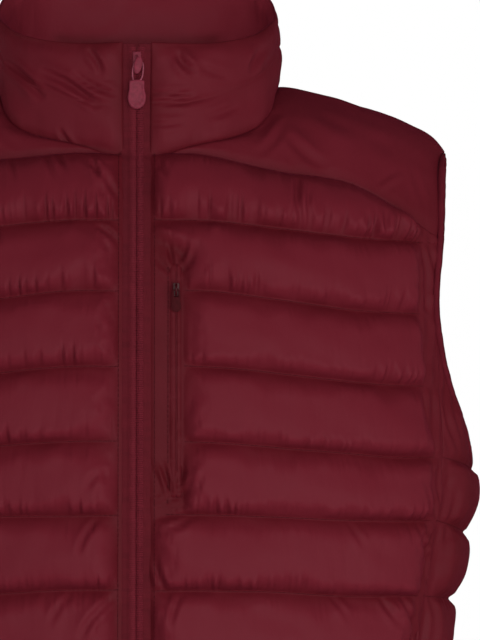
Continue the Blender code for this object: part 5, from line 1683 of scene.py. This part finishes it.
stitch_rows = row_tree("stitch_rows", True)
rib_rows = row_tree("rib_rows", False)


def stitched(name, lines, material):
    return grown(name, stitch_rows, lines, {
        "Spacing": STITCH_PITCH, "Bar length": STITCH_LENGTH, "Bar radius": THREAD_RADIUS,
        "Sides": THREAD_SIDES, "Finish": material})


def ribbed(name, lines, material):
    return grown(name, rib_rows, lines, {
        "Spacing": COIL_PITCH, "Bar length": COIL_LENGTH, "Bar radius": COIL_RADIUS,
        "Sides": COIL_SIDES, "Finish": material})


# ---------------------------------------------------------------- finishes

class Finish:
    """A procedural material under construction."""

    def __init__(self, name, roughness, **sockets):
        self.material = bpy.data.materials.new(name)
        self.material.use_nodes = True
        self.tree = self.material.node_tree
        self.shader = self.tree.nodes["Principled BSDF"]
        self.shader.inputs["Roughness"].default_value = roughness
        for label, value in sockets.items():
            self.shader.inputs[label.replace("_", " ")].default_value = value
        self.height = None

    def node(self, kind, **values):
        node = self.tree.nodes.new(kind)
        for label, value in values.items():
            setattr(node, label, value)
        return node

    def link(self, source, target):
        self.tree.links.new(source, target)

    def places(self, scale, on_cloth=False):
        """Coordinates of the object, or of the cloth, scaled by one number or by three."""
        mapping = self.node("ShaderNodeMapping")
        mapping.inputs["Scale"].default_value = scale if isinstance(scale, tuple) else (scale,) * 3
        if on_cloth:
            source = self.node("ShaderNodeUVMap", uv_map="cloth").outputs["UV"]
        else:
            source = self.node("ShaderNodeTexCoord").outputs["Object"]
        self.link(source, mapping.inputs["Vector"])
        return mapping.outputs["Vector"]

    def noise(self, scale, detail=3.0, roughness=0.55, on_cloth=False):
        texture = self.node("ShaderNodeTexNoise")
        texture.inputs["Scale"].default_value = 1.0
        texture.inputs["Detail"].default_value = detail
        texture.inputs["Roughness"].default_value = roughness
        self.link(self.places(scale, on_cloth), texture.inputs["Vector"])
        return texture.outputs["Fac"]

    def ribs(self, scale, direction, on_cloth=False, distortion=0.0):
        texture = self.node("ShaderNodeTexWave", bands_direction=direction, wave_profile="SIN")
        texture.inputs["Scale"].default_value = 1.0
        texture.inputs["Distortion"].default_value = distortion
        texture.inputs["Detail"].default_value = 1.0
        self.link(self.places(scale, on_cloth), texture.inputs["Vector"])
        return texture.outputs["Fac"]

    def bump(self, height, depth, strength):
        """Adds a relief of this depth in metres over the ones before it."""
        node = self.node("ShaderNodeBump")
        node.inputs["Strength"].default_value = strength
        node.inputs["Distance"].default_value = depth
        self.link(height, node.inputs["Height"])
        if self.height is not None:
            self.link(self.height, node.inputs["Normal"])
        self.height = node.outputs["Normal"]
        self.link(self.height, self.shader.inputs["Normal"])

    def colors(self, factor, *stops):
        """Base colour from a factor, through stops of (place, colour)."""
        ramp = self.node("ShaderNodeValToRGB")
        elements = ramp.color_ramp.elements
        for count, (place, color) in enumerate(stops):
            element = elements[count] if count < 2 else elements.new(place)
            element.position = place
            element.color = (*color, 1)
        self.link(factor, ramp.inputs["Fac"])
        self.link(ramp.outputs["Color"], self.shader.inputs["Base Color"])

    def shades(self, factor, color, *stops):
        """As colors, through shades of one colour as (place, brightness)."""
        self.colors(factor, *((place, shade(color, share)) for place, share in stops))

    def vary_roughness(self, factor, low, high):
        spread = self.node("ShaderNodeMapRange")
        spread.inputs["To Min"].default_value = low
        spread.inputs["To Max"].default_value = high
        self.link(factor, spread.inputs["Value"])
        self.link(spread.outputs["Result"], self.shader.inputs["Roughness"])


def shade(color, factor):
    return tuple(min(part * factor, 1.0) for part in color)


def nylon(name, shaded_color, lit_color):
    """Tightly woven, slightly crinkled nylon with a random mottle, and painted light and shade:
    lighter where the painted lightness is high.
    """
    made = Finish(name, 0.46, Specular_IOR_Level=0.10, Specular_Tint=NYLON_GLOSS,
                  Sheen_Weight=0.08, Sheen_Roughness=0.3, Sheen_Tint=NYLON_SHEEN)
    painted_light = made.node("ShaderNodeAttribute", attribute_name="painted_lightness").outputs["Fac"]
    mottle_and_painted_light = made.node("ShaderNodeMath", operation="MULTIPLY_ADD")
    mottle_and_painted_light.inputs[1].default_value = 0.55
    made.link(made.noise(24, 4.0), mottle_and_painted_light.inputs[0])
    made.link(painted_light, mottle_and_painted_light.inputs[2])
    # The ramp runs from the painted-shade colour to the painted-light colour.
    nearly_lit = tuple(mix(flat, full, 0.72) for flat, full in zip(shaded_color, lit_color))
    made.colors(mottle_and_painted_light.outputs["Value"],
                (0.20, shaded_color), (1.0, lit_color), (0.65, nearly_lit))
    made.vary_roughness(made.noise(210, 2.0), 0.40, 0.54)
    made.bump(made.noise((150, 52, 1), 3.0, 0.6, on_cloth=True), 0.55 * MM, 0.55)
    made.bump(made.noise(420, 2.0), 0.12 * MM, 0.5)
    made.bump(made.ribs((2600, 1, 1), "X", on_cloth=True), 0.03 * MM, 0.35)
    made.bump(made.ribs((1, 2600, 1), "Y", on_cloth=True), 0.03 * MM, 0.35)
    return made.material


def stretch_binding(name, color):
    """Matte knitted edging with fine lengthwise ribs."""
    made = Finish(name, 0.72, Specular_IOR_Level=0.05, Sheen_Weight=0.03, Sheen_Roughness=0.5,
                  Sheen_Tint=TRIM_SHEEN)
    made.shades(made.noise(90), color, (0.35, 0.86), (0.55, 1.0), (0.75, 1.12))
    made.bump(made.noise((260, 60, 1), 2.0, on_cloth=True), 0.35 * MM, 0.5)
    made.bump(made.ribs((1, 900, 1), "Y", on_cloth=True), 0.10 * MM, 0.5)
    made.bump(made.ribs((1500, 1, 1), "X", on_cloth=True), 0.06 * MM, 0.4)
    return made.material


def woven_tape(name, color):
    """Ribbed zip tape."""
    made = Finish(name, 0.62, Specular_IOR_Level=0.08, Sheen_Weight=0.03, Sheen_Roughness=0.4,
                  Sheen_Tint=TRIM_SHEEN)
    made.shades(made.noise((60, 60, 300)), color, (0.35, 0.9), (0.5, 1.0), (0.7, 1.1))
    made.bump(made.ribs((1, 1, 620), "Z", distortion=0.4), 0.16 * MM, 0.6)
    made.bump(made.ribs((900, 1, 1), "X"), 0.10 * MM, 0.5)
    return made.material


def coil(name, color):
    """Satin nylon coil."""
    made = Finish(name, 0.5, Specular_IOR_Level=0.05)
    made.shades(made.noise(120, 2.0), color, (0.35, 0.9), (0.7, 1.12))
    made.bump(made.noise(900, 2.0), 0.05 * MM, 0.5)
    return made.material


def thread(name, color):
    """Twisted sewing thread."""
    made = Finish(name, 0.6, Specular_IOR_Level=0.05)
    made.shades(made.noise(700, 2.0), color, (0.3, 0.8), (0.7, 1.15))
    made.bump(made.ribs(900, "DIAGONAL"), 0.08 * MM, 0.6)
    return made.material


def lacquered(name, color, metallic, roughness, gloss=0.15):
    """Lacquered or plated metal with slight wear and an uneven film."""
    made = Finish(name, roughness, Metallic=metallic, Specular_IOR_Level=gloss)
    made.shades(made.noise(500, 4.0), color, (0.32, 0.85), (0.5, 1.0), (0.78, 1.25))
    made.vary_roughness(made.noise(900), roughness - 0.08, roughness + 0.12)
    made.bump(made.noise(1300), 0.03 * MM, 0.5)
    return made.material


shell_cloth = nylon("shell_cloth_finish", SHADED_BURGUNDY, LIT_BURGUNDY)
# A lighter copy of the shell's finish: painted light inside the collar.
painted_light_lining = nylon("painted_light_lining_finish", SHADED_LINING, LIT_LINING)
binding_cloth = stretch_binding("binding_cloth_finish", TRIM_BURGUNDY)
tape_cloth = woven_tape("zip_tape_finish", TAPE_BURGUNDY)
coil_finish = coil("zip_coil_finish", COIL_BURGUNDY)
pocket_coil_finish = coil("pocket_coil_finish", POCKET_COIL)
thread_finish = thread("thread_finish", THREAD_BURGUNDY)
pull_finish = lacquered("pull_finish", PULL_ROSE, 0.0, 0.5)
wire_finish = lacquered("wire_finish", WIRE_ROSE, 0.3, 0.4)
slider_finish = lacquered("slider_finish", shade(PULL_ROSE, 0.9), 0.1, 0.45)
pocket_metal = lacquered("pocket_metal_finish", POCKET_DARK, 0.0, 0.5, 0.03)
pocket_gloss = lacquered("pocket_slider_finish", POCKET_DARK, 0.0, 0.25, 0.12)


# ---------------------------------------------------------------- the vest

def dress(piece, slot, *nodes, body="vest", cut=None):
    """Rides on its body and stands for its CAD nodes, which it hides; the slot and the cut are not
    used.
    """
    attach(piece, body)
    if nodes:
        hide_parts(*nodes)


quilt_lines, edge_lines = [], []
for hand in (1, -1):
    word = word_of(hand)
    for kind, make in (("front", front_cloth), ("side", side_cloth)):
        piece, lines = make(hand, shell_cloth)
        dress(piece, "shell_cloth", f"{kind}_{word}", cut=kind)
        quilt_lines += lines
    dress(yoke_cloth(hand, shell_cloth), "shell_cloth", f"yoke_{word}", cut="yoke")
    piece, line = armhole_binding(hand, binding_cloth)
    dress(piece, "binding_cloth", f"armhole_binding_{word}", cut="armhole_binding")
    edge_lines.append(line)

piece, lines = back_cloth(shell_cloth)
dress(piece, "shell_cloth", "back", cut="back")
quilt_lines += lines
dress(collar_cloth(shell_cloth, painted_light_lining), "shell_cloth", "collar", cut="collar")
piece, line = hem_binding(binding_cloth)
dress(piece, "binding_cloth", "hem_binding", cut="hem_binding")
edge_lines += [line, pocket_line()]
dress(stitched("quilting_stitches", quilt_lines, thread_finish), "shell_cloth")
dress(stitched("edge_stitches", edge_lines, thread_finish), "binding_cloth")

# Front zip.
for hand in (1, -1):
    dress(zip_tape(hand, tape_cloth), "zip_tape", f"zip_tape_{word_of(hand)}", cut="zip_tape")
dress(ribbed("zip_coil_ribs", coil_lines(), coil_finish), "zip_teeth", "zip_chain")

# Chest pocket zip.
# The lips carry no painted lightness, so they take the painted-shade colour.
dress(pocket_band("pocket_lip_outer", [(1 - x, z) for x, z in WELT], OUTER_LIP,
                  SEEDS["outer_lip"], shell_cloth), "shell_cloth")
dress(pocket_band("pocket_lip_inner", WELT, INNER_LIP, SEEDS["inner_lip"], shell_cloth),
      "shell_cloth")
dress(pocket_band("pocket_zip_coil", POCKET_BAR, POCKET_COIL_PLACE, SEEDS["pocket_coil"],
                  pocket_coil_finish), "zip_teeth", "pocket_zip")
dress(softened("pocket_slider_body", "pocket_slider", pocket_gloss),
      "pocket_metal", "pocket_slider")
dress(softened("pocket_pull_tab", "pocket_pull", pocket_metal),
      "pocket_metal", "pocket_pull", body="pocket_pull")

# Slider, bottom stop and pull of the front zip.
dress(softened("zip_slider_body", "zip_slider", slider_finish), "zip_metal", "zip_slider")
dress(slider_cover("zip_slider_cover", pull_finish), "zip_metal")
dress(softened("zip_box_stop", "zip_box", slider_finish), "zip_metal", "zip_box")
dress(pull_loop("zip_pull_wire", wire_finish), "zip_metal", body="zip_pull")
dress(pull_tab("zip_pull_tab", pull_finish), "zip_metal", "zip_pull", body="zip_pull")


# ---------------------------------------------------------------- floor, light and camera

def aim(thing, place, target):
    """Puts a light or the camera at a place and turns it to a target."""
    thing.location = place
    thing.rotation_euler = (Vector(target) - Vector(place)).to_track_quat("-Z", "Y").to_euler()


def sky():
    world = bpy.data.worlds.new("studio")
    bpy.context.scene.world = world
    world.use_nodes = True
    world.cycles_visibility.glossy = False
    nodes, link = world.node_tree.nodes, world.node_tree.links.new
    place = nodes.new("ShaderNodeTexCoord")
    split = nodes.new("ShaderNodeSeparateXYZ")
    ramp = nodes.new("ShaderNodeValToRGB")
    for element, (height, grey) in zip(ramp.color_ramp.elements, WORLD_STOPS):
        element.position, element.color = height, (grey, grey, grey, 1)
    link(place.outputs["Generated"], split.inputs["Vector"])
    link(split.outputs["Z"], ramp.inputs["Fac"])
    link(ramp.outputs["Color"], nodes["Background"].inputs["Color"])
    nodes["Background"].inputs["Strength"].default_value = WORLD_STRENGTH


def paper_floor():
    disc = bmesh.new()
    bmesh.ops.create_circle(disc, cap_ends=True, segments=96, radius=FLOOR_RADIUS)
    bmesh.ops.translate(disc, verts=disc.verts, vec=(0, 0, FLOOR_HEIGHT))
    data = bpy.data.meshes.new("floor")
    disc.to_mesh(data)
    disc.free()
    paper = Finish("floor_paper", 0.9)
    paper.colors(paper.noise(3, 2.0), (0.3, PAPER[0]), (0.7, PAPER[1]))
    data.materials.append(paper.material)
    floor = linked("floor", data)
    floor.visible_glossy = False


def soft_lights():
    for name, place, size, power, glossy in LIGHTS:
        data = bpy.data.lights.new(name, "AREA")
        data.shape = "RECTANGLE"
        data.size, data.size_y = size
        data.energy = power
        light = linked(name, data)
        light.visible_camera = False
        light.visible_glossy = glossy
        aim(light, place, LIGHT_AIM)


def camera():
    width, height = PICTURE
    eye = Vector((0.0, -EYE_DISTANCE, EYE_HEIGHT))
    target = Vector(((width / 2 - MIDDLE_PIXEL) * PIXEL, 0.0,
                     EYE_HEIGHT + (LEVEL_PIXEL - height / 2) * PIXEL))
    data = bpy.data.cameras.new("camera")
    data.sensor_width = SENSOR
    data.lens = SENSOR * (target - eye).length / (height * PIXEL)
    data.clip_end = FAR_END
    viewer = linked("camera", data)
    aim(viewer, eye, target)
    bpy.context.scene.camera = viewer


sky()
paper_floor()
soft_lights()
camera()
bpy.context.scene.view_settings.view_transform = "Standard"
